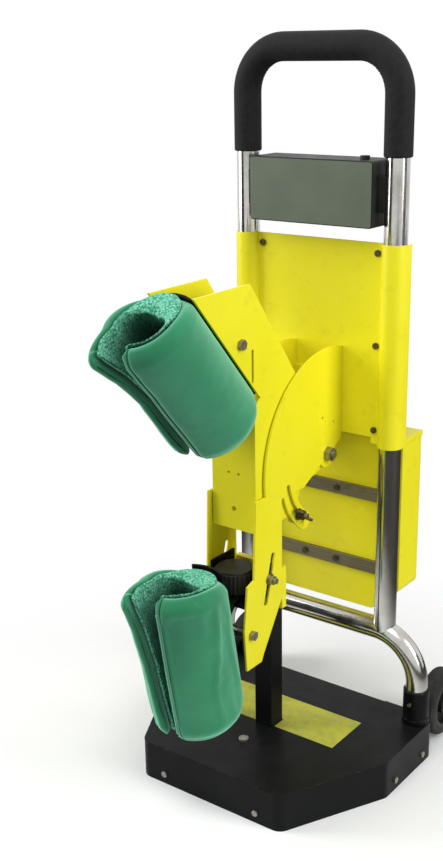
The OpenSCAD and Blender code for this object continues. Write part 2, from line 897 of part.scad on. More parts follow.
module wheel_left() {
    mirror([1, 0, 0]) wheel();
}

module wheel_right() {
    wheel();
}

module tyre_left() {
    mirror([1, 0, 0]) tyre();
}

module tyre_right() {
    tyre();
}

// Post
module square_tube(side, z0, z1) {
    translate([-side / 2, -side / 2, z0]) cube([side, side, z1 - z0]);
}

module post() {
    color("#19191b") difference() {
        square_tube(post_w, post_foot_z, post_top_z);
        square_tube(post_w - 2 * post_wall, post_foot_z - cut, post_top_z - post_wall);
        for (z = post_plate_bolt_zs) rod_y(screw_d + 2 * fit, -post_w, 0, 0, z);
    }
}

module post_foot_bolt_places() {
    for (x = [-1, 1], y = [-1, 1]) translate([x * post_foot_bolt, y * post_foot_bolt, 0]) children();
}

module post_foot() {
    color("#2b2b2d") difference() {
        translate([-post_foot_w / 2, -post_foot_w / 2, floor_t])
            cube([post_foot_w, post_foot_w, post_foot_t]);
        post_foot_bolt_places() translate([0, 0, floor_t - cut])
            cylinder(d = post_foot_bolt_d + 2 * fit, h = post_foot_t + 2 * cut);
    }
}

module post_foot_bolts() {
    color("#8a8a8c") post_foot_bolt_places() {
        translate([0, 0, base_wall / 2]) cylinder(d = post_foot_bolt_d, h = post_foot_z);
        translate([0, 0, post_foot_z]) cylinder(d = post_foot_bolt_d * nut_share, h = post_foot_bolt_d / 2);
    }
}

module post_plate() {
    color("#d9d227") difference() {
        translate([-plate_x - plate_t, arm_rear_y, post_plate_low_z])
            cube([bracket_w + 2 * plate_t, post_plate_t, post_plate_h]);
        for (z = post_plate_bolt_zs) rod_y(screw_d + 2 * fit, -2 * post_w, 0, 0, z);
    }
}

module post_plate_bolts() {
    color("#8a8a8c") for (z = post_plate_bolt_zs) {
        rod_y(screw_head_d, arm_rear_y - screw_head_h, arm_rear_y, 0, z);
        rod_y(screw_d, arm_rear_y - screw_head_h, -post_w / 2 + 2 * post_wall, 0, z);
    }
}

// Bracket
arm_points = [[arm_front_y, ledge_z], [arm_rear_y, ledge_z], [arm_rear_y, knee_z],
    [kick_y + 2 * toe_bevel + toe_w, toe_z + 2 * toe_bevel], [kick_y + toe_bevel + toe_w, toe_z],
    [kick_y + toe_bevel, toe_z], [kick_y, kick_z], [toe_front_y, toe_top_z],
    [arm_front_y - toe_bevel, toe_top_z + toe_bevel]];

module side_profile() {
    sector_front_y = pivot_y - sector_r - cut;
    sector_top_z = min(pivot_z + sector_r + cut, panel_top_z);
    difference() {
        union() {
            intersection() {
                translate([pivot_y, pivot_z]) circle(r = sector_r);
                polygon([[sector_front_y, sector_low_z], [sector_heel_y, sector_low_z],
                    [panel_y, sector_rear_z], [panel_y, sector_top_z], [sector_front_y, sector_top_z]]);
            }
            translate([pivot_y, pivot_z]) circle(r = boss_r);
            polygon(arm_points);
            pivot_band(clamp_r, lobe_w, clamp_angle - clamp_back_angle - lobe_spare,
                clamp_angle + clamp_front_angle + lobe_spare);
        }
        translate([pivot_y, pivot_z]) circle(d = pivot_d + 2 * fit);
        pivot_band(clamp_r, clamp_d + 2 * fit, clamp_angle - clamp_back_angle - clamp_slot_spare,
            clamp_angle + clamp_front_angle + clamp_slot_spare);
        translate([slot_y, slot_z]) rotate(90 - slot_lean) slot(slot_l, slot_w);
        translate([tie_y, tie_z]) circle(d = tie_d + 2 * fit);
        for (share = sector_hole_shares)
            translate([pivot_y, pivot_z] + share * sector_r) circle(d = sector_hole_d);
    }
}

module side_plate() {
    difference() {
        union() {
            side_view(plate_x, plate_t) side_profile();
            translate([plate_x - flange_w, panel_y - plate_t, flange_low_z])
                cube([flange_w + plate_t, plate_t, flange_h]);
        }
        for (z = flange_screw_zs)
            rod_y(screw_d + 2 * fit, panel_y - plate_t - cut, panel_y + cut, plate_x - flange_w / 2, z);
    }
}

module side_plate_left() {
    color("#ebe42c") mirror([1, 0, 0]) side_plate();
}

module side_plate_right() {
    color("#ebe42c") side_plate();
}

module side_plate_screws() {
    face_y = panel_y - plate_t;
    color("#8a8a8c") both_sides() for (z = flange_screw_zs) {
        rod_y(screw_head_d, face_y - screw_head_h, face_y, plate_x - flange_w / 2, z);
        rod_y(screw_d, face_y - screw_head_h, panel_y + 3 * panel_t, plate_x - flange_w / 2, z);
    }
}

// A hexagon along X
module hex_x(d, x0, x1, y, z) {
    translate([x0, y, z]) rotate([0, 90, 0]) cylinder(d = d, h = x1 - x0, $fn = 6);
}

module pivot_bolt() {
    face_x = plate_x + plate_t;
    color("#b9b4a6") {
        rod_x(pivot_d, -face_x - cut, face_x + pivot_d, pivot_y, pivot_z);
        hex_x(pivot_d * nut_share, -face_x - fit - pivot_d * nut_h_share, -face_x - fit, pivot_y, pivot_z);
    }
}

module pivot_nut() {
    face_x = plate_x + plate_t + fit;
    color("#b9b4a6") difference() {
        hex_x(pivot_d * nut_share, face_x, face_x + pivot_d * nut_h_share, pivot_y, pivot_z);
        rod_x(pivot_d + 2 * fit, 0, 2 * face_x, pivot_y, pivot_z);
    }
}

module pivot_spacer() {
    reach = cheek_x - fit;
    color("#9c9c9c") difference() {
        rod_x(2 * boss_r - plate_t, -reach, reach, pivot_y, pivot_z);
        rod_x(pivot_d + 2 * run, -2 * reach, 2 * reach, pivot_y, pivot_z);
    }
}

module tie_bolt() {
    face_x = plate_x + plate_t;
    head_h = tie_d * nut_h_share;
    color("#b9b4a6") {
        rod_x(tie_d, -face_x - cut, face_x + cut, tie_y, tie_z);
        rod_x(tie_spacer_d, -plate_x, plate_x, tie_y, tie_z);
        for (side = [-1, 1]) hex_x(tie_d * nut_share, side * (face_x + head_h / 2) - head_h / 2,
            side * (face_x + head_h / 2) + head_h / 2, tie_y, tie_z);
    }
}

// Upper arm
sole = holder_l / 2 + fit;
seat_top = (upper_z + seat_back * sin(upper_lean) - arm_top_z) / cos(upper_lean);
sole_front = (web_y - upper_y - sole * sin(upper_lean)) / cos(upper_lean);
cheek_points = [[pivot_y + boss_r * sin(upper_lean), pivot_z + boss_r * cos(upper_lean)],
    [arm_top_y, arm_top_z], behind_upper(seat_back, seat_top), behind_upper(seat_back, sole),
    behind_upper(sole_front, sole),
    [web_y, web_low_z], clamp_at, [sector_heel_y, sector_low_z], [pivot_y, pivot_z - boss_r]];

module cheek_profile() {
    difference() {
        union() {
            polygon(cheek_points);
            translate([pivot_y, pivot_z]) circle(r = boss_r);
            translate(clamp_at) circle(r = ear_r);
        }
        translate([pivot_y, pivot_z]) circle(d = pivot_d + 2 * run);
        translate(clamp_at) circle(d = clamp_d + 2 * fit);
        translate(behind_upper(lug_back, lug_drop)) circle(d = lug_bolt_d + 2 * fit);
        translate(behind_upper(holder_slot_back, holder_slot_down))
            rotate(90) slot(holder_slot_l, holder_slot_w);
    }
}

module upper_arm() {
    web_top_z = behind_upper(sole_front, sole)[1];
    half_w = cheek_x + plate_t;
    color("#e4dd2a") {
        both_sides() side_view(cheek_x, plate_t) cheek_profile();
        difference() {
            translate([-half_w, web_y, web_low_z]) cube([2 * half_w, plate_t, web_top_z - web_low_z]);
            rod_y(web_hole_d, web_y - cut, web_y + plate_t + cut, 0, web_low_z + web_hole_rise);
            for (side = [-1, 1])
                rod_y(web_pair_d, web_y - cut, web_y + plate_t + cut, side * web_pair_x,
                    web_low_z + web_pair_rise);
        }
    }
}

module clamp_rod() {
    face_x = plate_x + plate_t + fit;
    color("#8d8a80") {
        rod_x(clamp_d, -face_x - cut, face_x + clamp_d * 2, clamp_at[0], clamp_at[1]);
        rod_x(clamp_d * clamp_head_share, -face_x - clamp_d / 2, -face_x, clamp_at[0], clamp_at[1]);
        rod_x(clamp_d * clamp_head_share, face_x, face_x + washer_t, clamp_at[0], clamp_at[1]);
    }
}

module clamp_wing_nut() {
    start_x = plate_x + plate_t + 2 * fit + washer_t;
    color("#54514a") difference() {
        union() {
            rod_x(clamp_d * nut_share, start_x, start_x + clamp_d, clamp_at[0], clamp_at[1]);
            translate([start_x + fit, clamp_at[0], clamp_at[1]]) rotate([-wing_turn, 0, 0]) {
                translate([0, -wing_l, -wing_t / 2]) cube([clamp_d, 2 * wing_l, wing_t]);
                for (side = [-1, 1]) translate([clamp_d, side * wing_l, 0])
                    cylinder(d = wing_d, h = wing_t, center = true);
            }
        }
        rod_x(clamp_d + 2 * run, 0, 2 * start_x, clamp_at[0], clamp_at[1]);
    }
}

// Sleeves and their holders, drawn upright about their own axis with the slit towards -Y
module on_upper(rise = 0) {
    translate([0, upper_y, upper_z]) rotate([upper_lean, 0, 0]) translate([0, 0, rise]) children();
}

module on_lower(rise = 0) {
    translate([0, lower_y, lower_z]) rotate([lower_lean, 0, 0]) translate([0, 0, rise]) children();
}

// A padded wall with round rims and round hems, open along the slit
module padded_wall(r, wall, length) {
    mid_r = r - wall / 2;
    run_l = length - wall;
    front = -whole_turn / 4 - slit_turn;
    rotate(front + slit_angle / 2) rotate_extrude(angle = whole_turn - slit_angle) {
        translate([r - wall, -run_l / 2]) square([wall, run_l]);
        for (side = [-1, 1]) translate([mid_r, side * run_l / 2]) circle(d = wall);
    }
    for (side = [-1, 1]) rotate(front + side * slit_angle / 2)
        translate([mid_r, side * wall * hem_sink_share, 0])
            mirror([0, side > 0 ? 1 : 0, 0]) hem(wall * hem_share, run_l);
}

// The rounded front of a padded edge, upright about its own axis
module hem(d, length) {
    rotate(-hem_lap) rotate_extrude(angle = whole_turn / 2 + 2 * hem_lap) intersection() {
        rotate(90) slot(length, d);
        translate([0, -length]) square([d, 2 * length]);
    }
}

module holder_shell() {
    rotate(90 - holder_angle) rotate_extrude(angle = 2 * holder_angle)
        translate([holder_r, -holder_l / 2]) square([holder_t, holder_l]);
}

module upper_sleeve() {
    color("#2f9a6c") on_upper(upper_slip) padded_wall(sleeve_r, cover_t, sleeve_l);
}

module upper_lining() {
    color("#7fd9b5") on_upper(upper_slip) padded_wall(lining_r, lining_t, sleeve_l - lining_short);
}

module upper_holder() {
    lug_x = lug_pitch / 2;
    mid_r = holder_r + holder_t / 2;
    start = sqrt(mid_r * mid_r - lug_x * lug_x);
    color("#151516") on_upper() difference() {
        union() {
            holder_shell();
            both_sides() translate([lug_x, start, -lug_drop - lug_r])
                cube([plate_t, lug_back - start, 2 * lug_r]);
            both_sides() rod_x(2 * lug_r, lug_x, lug_x + plate_t, lug_back, -lug_drop);
        }
        rod_x(lug_bolt_d + 2 * fit, -bracket_w, bracket_w, lug_back, -lug_drop);
        cylinder(r = holder_r, h = 2 * holder_l, center = true);
    }
}

module upper_holder_bolt() {
    face_x = cheek_x + plate_t;
    head_h = lug_bolt_d * nut_h_share;
    color("#8d8a80") on_upper() {
        rod_x(lug_bolt_d, -face_x - cut, face_x + cut, lug_back, -lug_drop);
        for (side = [-1, 1]) hex_x(lug_bolt_d * nut_share, side * (face_x + head_h / 2) - head_h / 2,
            side * (face_x + head_h / 2) + head_h / 2, lug_back, -lug_drop);
    }
}

// Lower slide
module lower_carriage() {
    half_w = plate_x - play;
    color("#1d1d1f") difference() {
        union() {
            translate([-half_w, carriage_front_y, carriage_low_z])
                cube([2 * half_w, carriage_rear_y - carriage_front_y, carriage_t]);
            both_sides() translate([carriage_x, arm_front_y, carriage_low_z])
                cube([plate_t, carriage_rear_y - arm_front_y, carriage_top_z - carriage_low_z]);
        }
        translate([0, knob_y, carriage_low_z - cut]) cylinder(d = stud_d + 2 * fit, h = carriage_t + 2 * cut);
        rod_x(slot_bolt_d + 2 * fit, -bracket_w, bracket_w, slot_y, slot_z);
    }
}

module slot_bolts() {
    face_x = plate_x + plate_t + fit;
    head_h = slot_bolt_d * nut_h_share;
    color("#a29d8f") both_sides() {
        rod_x(slot_bolt_d, carriage_x - head_h, face_x + 2 * head_h, slot_y, slot_z);
        rod_x(slot_bolt_d * nut_share, carriage_x - head_h / 2, carriage_x, slot_y, slot_z);
        rod_x(slot_bolt_d * clamp_head_share, face_x, face_x + washer_t, slot_y, slot_z);
        hex_x(slot_bolt_d * nut_share, face_x + washer_t, face_x + washer_t + head_h, slot_y, slot_z);
    }
}

module adjusting_stud() {
    color("#a5a5a7") translate([0, knob_y, 0]) {
        translate([0, 0, carriage_low_z - stud_d / 2]) {
            cylinder(d = stud_d, h = stud_top_z - carriage_low_z + stud_d / 2);
            cylinder(d = stud_d * nut_share, h = stud_d / 2, $fn = 6);
        }
    }
}

module knob_washer() {
    color("#b9b7b0") translate([0, knob_y, tongue_z + tongue_t + fit]) difference() {
        cylinder(d = knob_washer_d, h = knob_washer_t);
        translate([0, 0, -cut]) cylinder(d = stud_d + 2 * run, h = knob_washer_t + 2 * cut);
    }
}

module adjusting_knob() {
    color("#131314") translate([0, knob_y, knob_z]) difference() {
        union() {
            cylinder(d = knob_d, h = knob_h - knob_cap_t);
            cylinder(d = knob_d - 2 * knob_cap_t, h = knob_h);
        }
        for (i = [0:knob_ribs - 1]) rotate(i * whole_turn / knob_ribs) translate([knob_d / 2, 0, -cut])
            cylinder(d = knob_rib_d, h = knob_h + 2 * cut, $fn = rib_sides);
        translate([0, 0, -cut]) cylinder(d = stud_d + 2 * run, h = stud_top_z - knob_z + play + cut);
    }
}

module lower_holder() {
    color("#151516") difference() {
        union() {
            on_lower() holder_shell();
            translate([-tongue_w / 2, lower_y, tongue_z])
                cube([tongue_w, knob_y + tongue_tail - lower_y, tongue_t]);
        }
        on_lower() cylinder(r = holder_r, h = 2 * holder_l, center = true);
        translate([0, knob_y, tongue_z - cut]) cylinder(d = stud_d + 2 * run, h = tongue_t + 2 * cut);
    }
}

module lower_sleeve() {
    color("#2f9a6c") on_lower(lower_slip) padded_wall(sleeve_r, cover_t, sleeve_l);
}

module lower_lining() {
    color("#7fd9b5") on_lower(lower_slip) padded_wall(lining_r, lining_t, sleeve_l - lining_short);
}

base_cover();
base_floor();
ballast_blocks();
base_screws();
cover_bolt();
label_plate();
leg_socket_left();
leg_socket_right();
socket_screws();
leg_hoop();
handle_hoop();
handle_grip();
crossbar_upper();
crossbar_lower();
crossbar_screws();
back_panel();
panel_screws();
control_box();
control_cover();
control_button();
battery_pack();
box_saddles();
rear_box();
rear_box_lid();
lid_hinge_pin();
stub_axles();
axle_brackets();
axle_nuts();
wheel_left();
tyre_left();
wheel_right();
tyre_right();
post();
post_foot();
post_foot_bolts();
post_plate();
post_plate_bolts();
side_plate_left();
side_plate_right();
side_plate_screws();
pivot_bolt();
pivot_nut();
pivot_spacer();
tie_bolt();
upper_arm();
clamp_rod();
clamp_wing_nut();
upper_holder();
upper_holder_bolt();
upper_sleeve();
upper_lining();
lower_carriage();
slot_bolts();
adjusting_stud();
knob_washer();
adjusting_knob();
lower_holder();
lower_sleeve();
lower_lining();
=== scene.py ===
# %% [markdown]
# # A trolley that cleans escalator handrails
#
# The trolley stands beside an escalator. Two padded sleeves sit on a yellow bracket and wipe the
# handrail that runs through them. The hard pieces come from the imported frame, in metres, and are
# only given their finish here. The soft pieces are modelled: the sleeves, their terry linings and
# the foam grip.

# %% Load the frame
import math

import bmesh
import bpy
import numpy as np
from mathutils import Matrix, Vector, noise
from mathutils.bvhtree import BVHTree


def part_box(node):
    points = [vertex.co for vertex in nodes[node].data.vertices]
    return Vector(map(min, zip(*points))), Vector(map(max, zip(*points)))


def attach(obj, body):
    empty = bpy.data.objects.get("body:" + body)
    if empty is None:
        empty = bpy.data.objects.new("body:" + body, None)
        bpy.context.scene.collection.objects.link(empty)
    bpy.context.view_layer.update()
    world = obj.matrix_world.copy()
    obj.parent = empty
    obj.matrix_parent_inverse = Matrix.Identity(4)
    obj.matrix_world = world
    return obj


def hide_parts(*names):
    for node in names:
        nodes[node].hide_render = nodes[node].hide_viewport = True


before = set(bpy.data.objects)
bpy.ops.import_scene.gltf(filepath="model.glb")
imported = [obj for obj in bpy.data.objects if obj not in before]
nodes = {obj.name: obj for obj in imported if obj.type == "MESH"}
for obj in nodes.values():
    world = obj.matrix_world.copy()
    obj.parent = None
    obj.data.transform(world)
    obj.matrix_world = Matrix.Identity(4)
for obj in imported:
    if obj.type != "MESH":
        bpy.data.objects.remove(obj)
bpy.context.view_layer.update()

# %% [markdown]
# ## Camera
#
# The photograph is a tall frame taken from the front right and a little above. A camera could be
# placed by eye, but the edges of the base, the tubes and the panel fix it: its place, its turn and
# its focal length were fitted to those edges. Blender measures a lens on the long side of the
# picture, and the shift moves the middle of the picture without turning the camera.

# %% Camera
MM = 0.001
IMAGE_W, IMAGE_H = 443, 861
FOCAL_PX = 1194.2
MIDDLE_PX = (231.9, 446.0)
CAMERA_AT = Vector((881.9, -1259.1, 997.8)) * MM
TURN, PITCH, ROLL = (math.radians(a) for a in (36.81, 18.5, -0.86))

ahead = Vector((-math.sin(TURN) * math.cos(PITCH), math.cos(TURN) * math.cos(PITCH), -math.sin(PITCH)))
right = Vector((math.cos(TURN), math.sin(TURN), 0))
above = right.cross(ahead)
right, above = (right * math.cos(ROLL) + above * math.sin(ROLL),
                above * math.cos(ROLL) - right * math.sin(ROLL))

lens = bpy.data.cameras.new("camera")
lens.sensor_width = 36.0
lens.lens = FOCAL_PX * lens.sensor_width / IMAGE_H
lens.shift_x = (IMAGE_W / 2 - MIDDLE_PX[0]) / IMAGE_H
lens.shift_y = (MIDDLE_PX[1] - IMAGE_H / 2) / IMAGE_H
camera = bpy.data.objects.new("camera", lens)
bpy.context.scene.collection.objects.link(camera)
axes = Matrix((right, above, -ahead)).transposed().to_4x4()
camera.matrix_world = Matrix.Translation(CAMERA_AT) @ axes
bpy.context.scene.camera = camera
print("lens:", round(lens.lens, 2), "mm")

# %% [markdown]
# ## Node helpers
#
# Each finish is a small tree of shader nodes. These helpers add one node each, so a finish reads
# as a short list. All patterns use object coordinates, which are metres here, so a scale of 1000
# gives features of about a millimetre.


# %% Node helpers
def srgb(r, g, b):
    """A colour as a screen shows it, 0 to 255, turned into the linear values that shaders use."""
    def linear(v):
        v /= 255
        return v / 12.92 if v <= 0.04045 else ((v + 0.055) / 1.055) ** 2.4
    return (linear(r), linear(g), linear(b), 1.0)


class Finish:
    """A material under construction: its node tree, its main shader and its coordinates."""

    EDGE_BEND = (0.995, 0.75)
    UPWARD = (0.6, 0.95)
    BEVEL_SAMPLES, OPEN_SAMPLES = 4, 8

    def __init__(self, name, **sockets):
        self.material = bpy.data.materials.new(name)
        self.material.use_nodes = True
        self.tree = self.material.node_tree
        self.shader = self.tree.nodes["Principled BSDF"]
        self.place = self.add("ShaderNodeTexCoord").outputs["Object"]
        for socket, value in sockets.items():
            self.shader.inputs[socket.replace("_", " ")].default_value = value

    def add(self, kind, inputs=None, **settings):
        node = self.tree.nodes.new(kind)
        for key, value in settings.items():
            setattr(node, key, value)
        for key, value in (inputs or {}).items():
            self.put(value, node.inputs[key])
        return node

    def put(self, value, socket):
        if isinstance(value, bpy.types.NodeSocket):
            self.tree.links.new(value, socket)
        else:
            socket.default_value = value

    def set(self, socket, value):
        self.put(value, self.shader.inputs[socket])

    def stretched(self, x, y, z):
        return self.add("ShaderNodeMapping", {"Vector": self.place, "Scale": (x, y, z)}).outputs[0]

    def noise(self, scale, detail=3.0, rough=0.55, place=None):
        inputs = {"Vector": place or self.place, "Scale": scale, "Detail": detail, "Roughness": rough}
        return self.add("ShaderNodeTexNoise", inputs).outputs[0]

    def cells(self, scale):
        return self.add("ShaderNodeTexVoronoi", {"Vector": self.place, "Scale": scale}).outputs["Distance"]

    def span(self, value, low, high, to_low=0.0, to_high=1.0):
        inputs = {"Value": value, "From Min": low, "From Max": high, "To Min": to_low, "To Max": to_high}
        return self.add("ShaderNodeMapRange", inputs).outputs[0]

    def times(self, a, b):
        return self.add("ShaderNodeMath", {0: a, 1: b}, operation="MULTIPLY").outputs[0]

    def mix(self, share, a, b):
        node = self.add("ShaderNodeMix", data_type="RGBA")
        self.put(share, node.inputs["Factor"])
        self.put(a, node.inputs["A"])
        self.put(b, node.inputs["B"])
        return node.outputs["Result"]

    def rounded_edges(self, radius):
        return self.add("ShaderNodeBevel", {"Radius": radius}, samples=self.BEVEL_SAMPLES).outputs[0]

    def edges(self, rounded):
        """1 along the edges that the rounding bends, 0 on flat faces."""
        flat = self.add("ShaderNodeNewGeometry").outputs["Normal"]
        same = self.add("ShaderNodeVectorMath", {0: rounded, 1: flat}, operation="DOT_PRODUCT")
        return self.span(same.outputs["Value"], *self.EDGE_BEND)

    def upward(self):
        """1 on faces that look up, 0 on upright ones."""
        normal = self.add("ShaderNodeNewGeometry").outputs["Normal"]
        axis = self.add("ShaderNodeSeparateXYZ", {0: normal})
        return self.span(axis.outputs["Z"], *self.UPWARD)

    def open_to_light(self, reach):
        """1 where a place lies open, towards 0 in narrow gaps and deep inside."""
        node = self.add("ShaderNodeAmbientOcclusion", {"Distance": reach}, samples=self.OPEN_SAMPLES)
        return node.outputs["AO"]

    def bump(self, height, depth, strength, normal=None):
        inputs = {"Height": height, "Distance": depth, "Strength": strength}
        if normal is not None:
            inputs["Normal"] = normal
        self.set("Normal", self.add("ShaderNodeBump", inputs).outputs[0])


def dress(finish, *names):
    """Gives the finish to these nodes of the frame."""
    for name in names:
        mesh = nodes[name].data
        mesh.materials.clear()
        mesh.materials.append(finish.material)
    print(finish.material.name, "on", len(names), "nodes")


# %% [markdown]
# ## Yellow powder coat
#
# The bracket, panel and rear box are folded sheet, sprayed with a glossy yellow powder. Baked
# powder has a faint orange peel, wanders a little in tone, and rubs thin along the folds. A flat
# colour would look like plastic, so slow noise shifts the tone and fine noise lifts the surface.
# The bevel node bends the light at the edges as a folded edge does. The folds are also painted
# paler, which is partly wear and partly a painted highlight.

# %% Yellow powder coat
yellow = Finish("yellow_powder_coat", Coat_Weight=0.12, Coat_Roughness=0.15, Specular_IOR_Level=0.3)
tone = yellow.noise(7.0, 2.0)
coat = yellow.mix(yellow.span(tone, 0.3, 0.7), srgb(240, 228, 28), srgb(245, 236, 40))
folds = yellow.rounded_edges(1.2 * MM)
# Wear and painted highlight: where noise lets it, the folds are painted a pale cream.
wear_and_highlight = yellow.times(yellow.edges(folds), yellow.span(yellow.noise(160.0), 0.45, 0.7))
coat = yellow.mix(yellow.times(wear_and_highlight, 0.55), coat, srgb(250, 246, 120))
grime = yellow.span(yellow.noise(38.0, 6.0, 0.7), 0.56, 0.8)
yellow.set("Base Color", yellow.mix(yellow.times(grime, 0.22), coat, srgb(150, 138, 30)))
yellow.set("Roughness", yellow.span(yellow.noise(60.0, 4.0), 0.3, 0.7, 0.28, 0.42))
yellow.bump(yellow.noise(650.0, 2.0), 0.12 * MM, 0.35, folds)
dress(yellow, "back_panel", "rear_box", "rear_box_lid", "side_plate_left", "side_plate_right",
      "upper_arm", "post_plate")

# %% [markdown]
# The plate on the base is bare: the same yellow, flatter and a little dusty.

# %% Base plate
plate = Finish("bare_plate_yellow", Roughness=0.5)
dusty = plate.span(plate.noise(45.0, 5.0, 0.65), 0.4, 0.75)
plate.set("Base Color", plate.mix(dusty, srgb(178, 178, 48), srgb(152, 152, 60)))
plate.set("Roughness", plate.span(plate.noise(90.0), 0.3, 0.7, 0.4, 0.6))
plate.bump(plate.noise(900.0, 2.0), 0.05 * MM, 0.3, plate.rounded_edges(0.3 * MM))
dress(plate, "label_plate")

# %% [markdown]
# ## Black powder coat
#
# The base, the post and the holders are black: a semi-gloss coat with a fine texture. On a floor
# machine the top faces gather dust and the edges get knocked, so upward faces are mixed with a
# little grey and the edges are scuffed where a noise lets them be.

# %% Black powder coat
black = Finish("black_powder_coat", Specular_IOR_Level=0.08)
corners = black.rounded_edges(2.0 * MM)
ground = black.mix(black.span(black.noise(9.0), 0.35, 0.65), srgb(14, 15, 15), srgb(21, 22, 22))
dust = black.times(black.upward(), black.span(black.noise(24.0, 6.0, 0.7), 0.45, 0.8, 0.0, 0.035))
ground = black.mix(dust, ground, srgb(118, 122, 116))
scuff = black.times(black.edges(corners), black.span(black.noise(120.0, 4.0), 0.5, 0.68))
black.set("Base Color", black.mix(black.times(scuff, 0.5), ground, srgb(104, 104, 104)))
black.set("Roughness", black.span(black.noise(30.0, 5.0), 0.3, 0.7, 0.3, 0.46))
black.bump(black.noise(1500.0, 2.0), 0.08 * MM, 0.4, corners)
dress(black, "base_cover", "base_floor", "leg_socket_left", "leg_socket_right", "post", "post_foot",
      "axle_brackets", "upper_holder", "lower_holder", "lower_carriage")

# %% [markdown]
# ## Polished tube
#
# The frame is bent from polished steel tube. Polishing leaves fine rings round the tube and the
# hands that use it leave smudges, so the roughness changes in slow patches, and a noise that is
# squeezed along the height lies as rings on the uprights.

# %% Polished tube
tube = Finish("polished_tube", Metallic=1.0)
rings = tube.noise(1.0, 2.0, 0.5, tube.stretched(60, 60, 2600))
smudge = tube.noise(22.0, 5.0, 0.65)
tube.set("Base Color", tube.mix(tube.span(smudge, 0.35, 0.7), srgb(205, 203, 198), srgb(182, 180, 174)))
tube.set("Roughness", tube.span(smudge, 0.3, 0.75, 0.1, 0.24))
tube.bump(rings, 0.02 * MM, 0.25)
dress(tube, "leg_hoop", "handle_hoop")

# %% [markdown]
# ## Dull steel and zinc
#
# The crossbars are dull flat bar, drawn along their length. The screws, bolts and nuts are zinc
# plated, and zinc shows small crystals, which cells of a Voronoi pattern give.

# %% Dull steel and zinc
bar = Finish("drawn_flat_bar", Metallic=0.75)
drawn = bar.noise(1.0, 4.0, 0.6, bar.stretched(18, 900, 900))
bar.set("Base Color", bar.mix(bar.span(drawn, 0.3, 0.7), srgb(112, 106, 80), srgb(144, 136, 104)))
bar.set("Roughness", bar.span(bar.noise(70.0, 4.0), 0.3, 0.7, 0.38, 0.56))
bar.bump(drawn, 0.05 * MM, 0.4, bar.rounded_edges(0.8 * MM))
dress(bar, "crossbar_upper", "crossbar_lower")

zinc = Finish("zinc_plate", Metallic=0.95)
crystal = zinc.cells(420.0)
zinc.set("Base Color", zinc.mix(zinc.span(crystal, 0.0, 0.8), srgb(172, 168, 156), srgb(134, 130, 118)))
zinc.set("Roughness", zinc.span(zinc.noise(200.0, 4.0), 0.3, 0.7, 0.26, 0.48))
zinc.bump(zinc.noise(800.0, 3.0), 0.06 * MM, 0.4, zinc.rounded_edges(0.5 * MM))
dress(zinc, "base_screws", "cover_bolt", "socket_screws", "lid_hinge_pin", "stub_axles", "axle_nuts",
      "post_foot_bolts", "post_plate_bolts", "side_plate_screws", "pivot_bolt", "pivot_nut",
      "pivot_spacer", "tie_bolt", "clamp_rod", "upper_holder_bolt", "slot_bolts", "adjusting_stud",
      "knob_washer")

worn = Finish("browned_steel", Metallic=0.8)
stain = worn.noise(260.0, 5.0, 0.7)
worn.set("Base Color", worn.mix(worn.span(stain, 0.35, 0.65), srgb(58, 54, 46), srgb(104, 92, 66)))
worn.set("Roughness", worn.span(stain, 0.3, 0.7, 0.36, 0.6))
worn.bump(stain, 0.1 * MM, 0.5, worn.rounded_edges(0.5 * MM))
dress(worn, "clamp_wing_nut", "panel_screws", "crossbar_screws")

# %% [markdown]
# ## Moulded plastic and rubber
#
# The control box, knob and wheel centres are moulded in black plastic with a fine spark grain. The
# box's front cover is a satin grey-green sheet, left bare. The tyres are matte rubber that greys
# where it rolls.

# %% Plastic and rubber
plastic = Finish("grained_black_plastic", Specular_IOR_Level=0.3)
grain = plastic.noise(40.0, 4.0)
plastic.set("Base Color", plastic.mix(plastic.span(grain, 0.35, 0.65), srgb(25, 26, 24), srgb(35, 37, 32)))
plastic.set("Roughness", plastic.span(grain, 0.3, 0.7, 0.42, 0.58))
plastic.bump(plastic.cells(1600.0), 0.08 * MM, 0.5, plastic.rounded_edges(1.0 * MM))
dress(plastic, "control_box", "box_saddles", "control_button", "adjusting_knob", "wheel_left",
      "wheel_right")

cover = Finish("satin_grey_cover", Specular_IOR_Level=0.3)
haze = cover.noise(16.0, 4.0)
cover.set("Base Color", cover.mix(cover.span(haze, 0.3, 0.7), srgb(94, 103, 88), srgb(104, 113, 97)))
cover.set("Roughness", cover.span(cover.noise(80.0), 0.3, 0.7, 0.4, 0.52))
cover.bump(cover.noise(1400.0, 2.0), 0.05 * MM, 0.35, cover.rounded_edges(0.8 * MM))
dress(cover, "control_cover")

rubber = Finish("tyre_rubber", Specular_IOR_Level=0.3)
rolled = rubber.noise(55.0, 5.0, 0.7)
rubber.set("Base Color", rubber.mix(rubber.span(rolled, 0.4, 0.75), srgb(24, 24, 24), srgb(58, 57, 54)))
rubber.set("Roughness", rubber.span(rolled, 0.3, 0.7, 0.7, 0.9))
rubber.bump(rubber.noise(700.0, 3.0), 0.15 * MM, 0.5, rubber.rounded_edges(1.0 * MM))
dress(rubber, "tyre_left", "tyre_right")

# %% [markdown]
# The pieces inside the base and the box don't show, but each has its finish: rough cast iron for
# the ballast and a blue shrink sleeve on the battery.

# %% Inner pieces
iron = Finish("cast_iron", Metallic=0.5)
sand = iron.noise(420.0, 4.0)
iron.set("Base Color", iron.mix(sand, srgb(52, 50, 48), srgb(92, 88, 84)))
iron.set("Roughness", iron.span(sand, 0.3, 0.7, 0.6, 0.85))
iron.bump(sand, 0.4 * MM, 0.6)
dress(iron, "ballast_blocks")

shrink = Finish("blue_shrink_sleeve")
crease = shrink.noise(1.0, 3.0, 0.5, shrink.stretched(40, 300, 300))
shrink.set("Base Color", shrink.mix(crease, srgb(42, 84, 150), srgb(60, 104, 170)))
shrink.set("Roughness", shrink.span(crease, 0.3, 0.7, 0.25, 0.45))
shrink.bump(crease, 0.3 * MM, 0.5)
dress(shrink, "battery_pack")

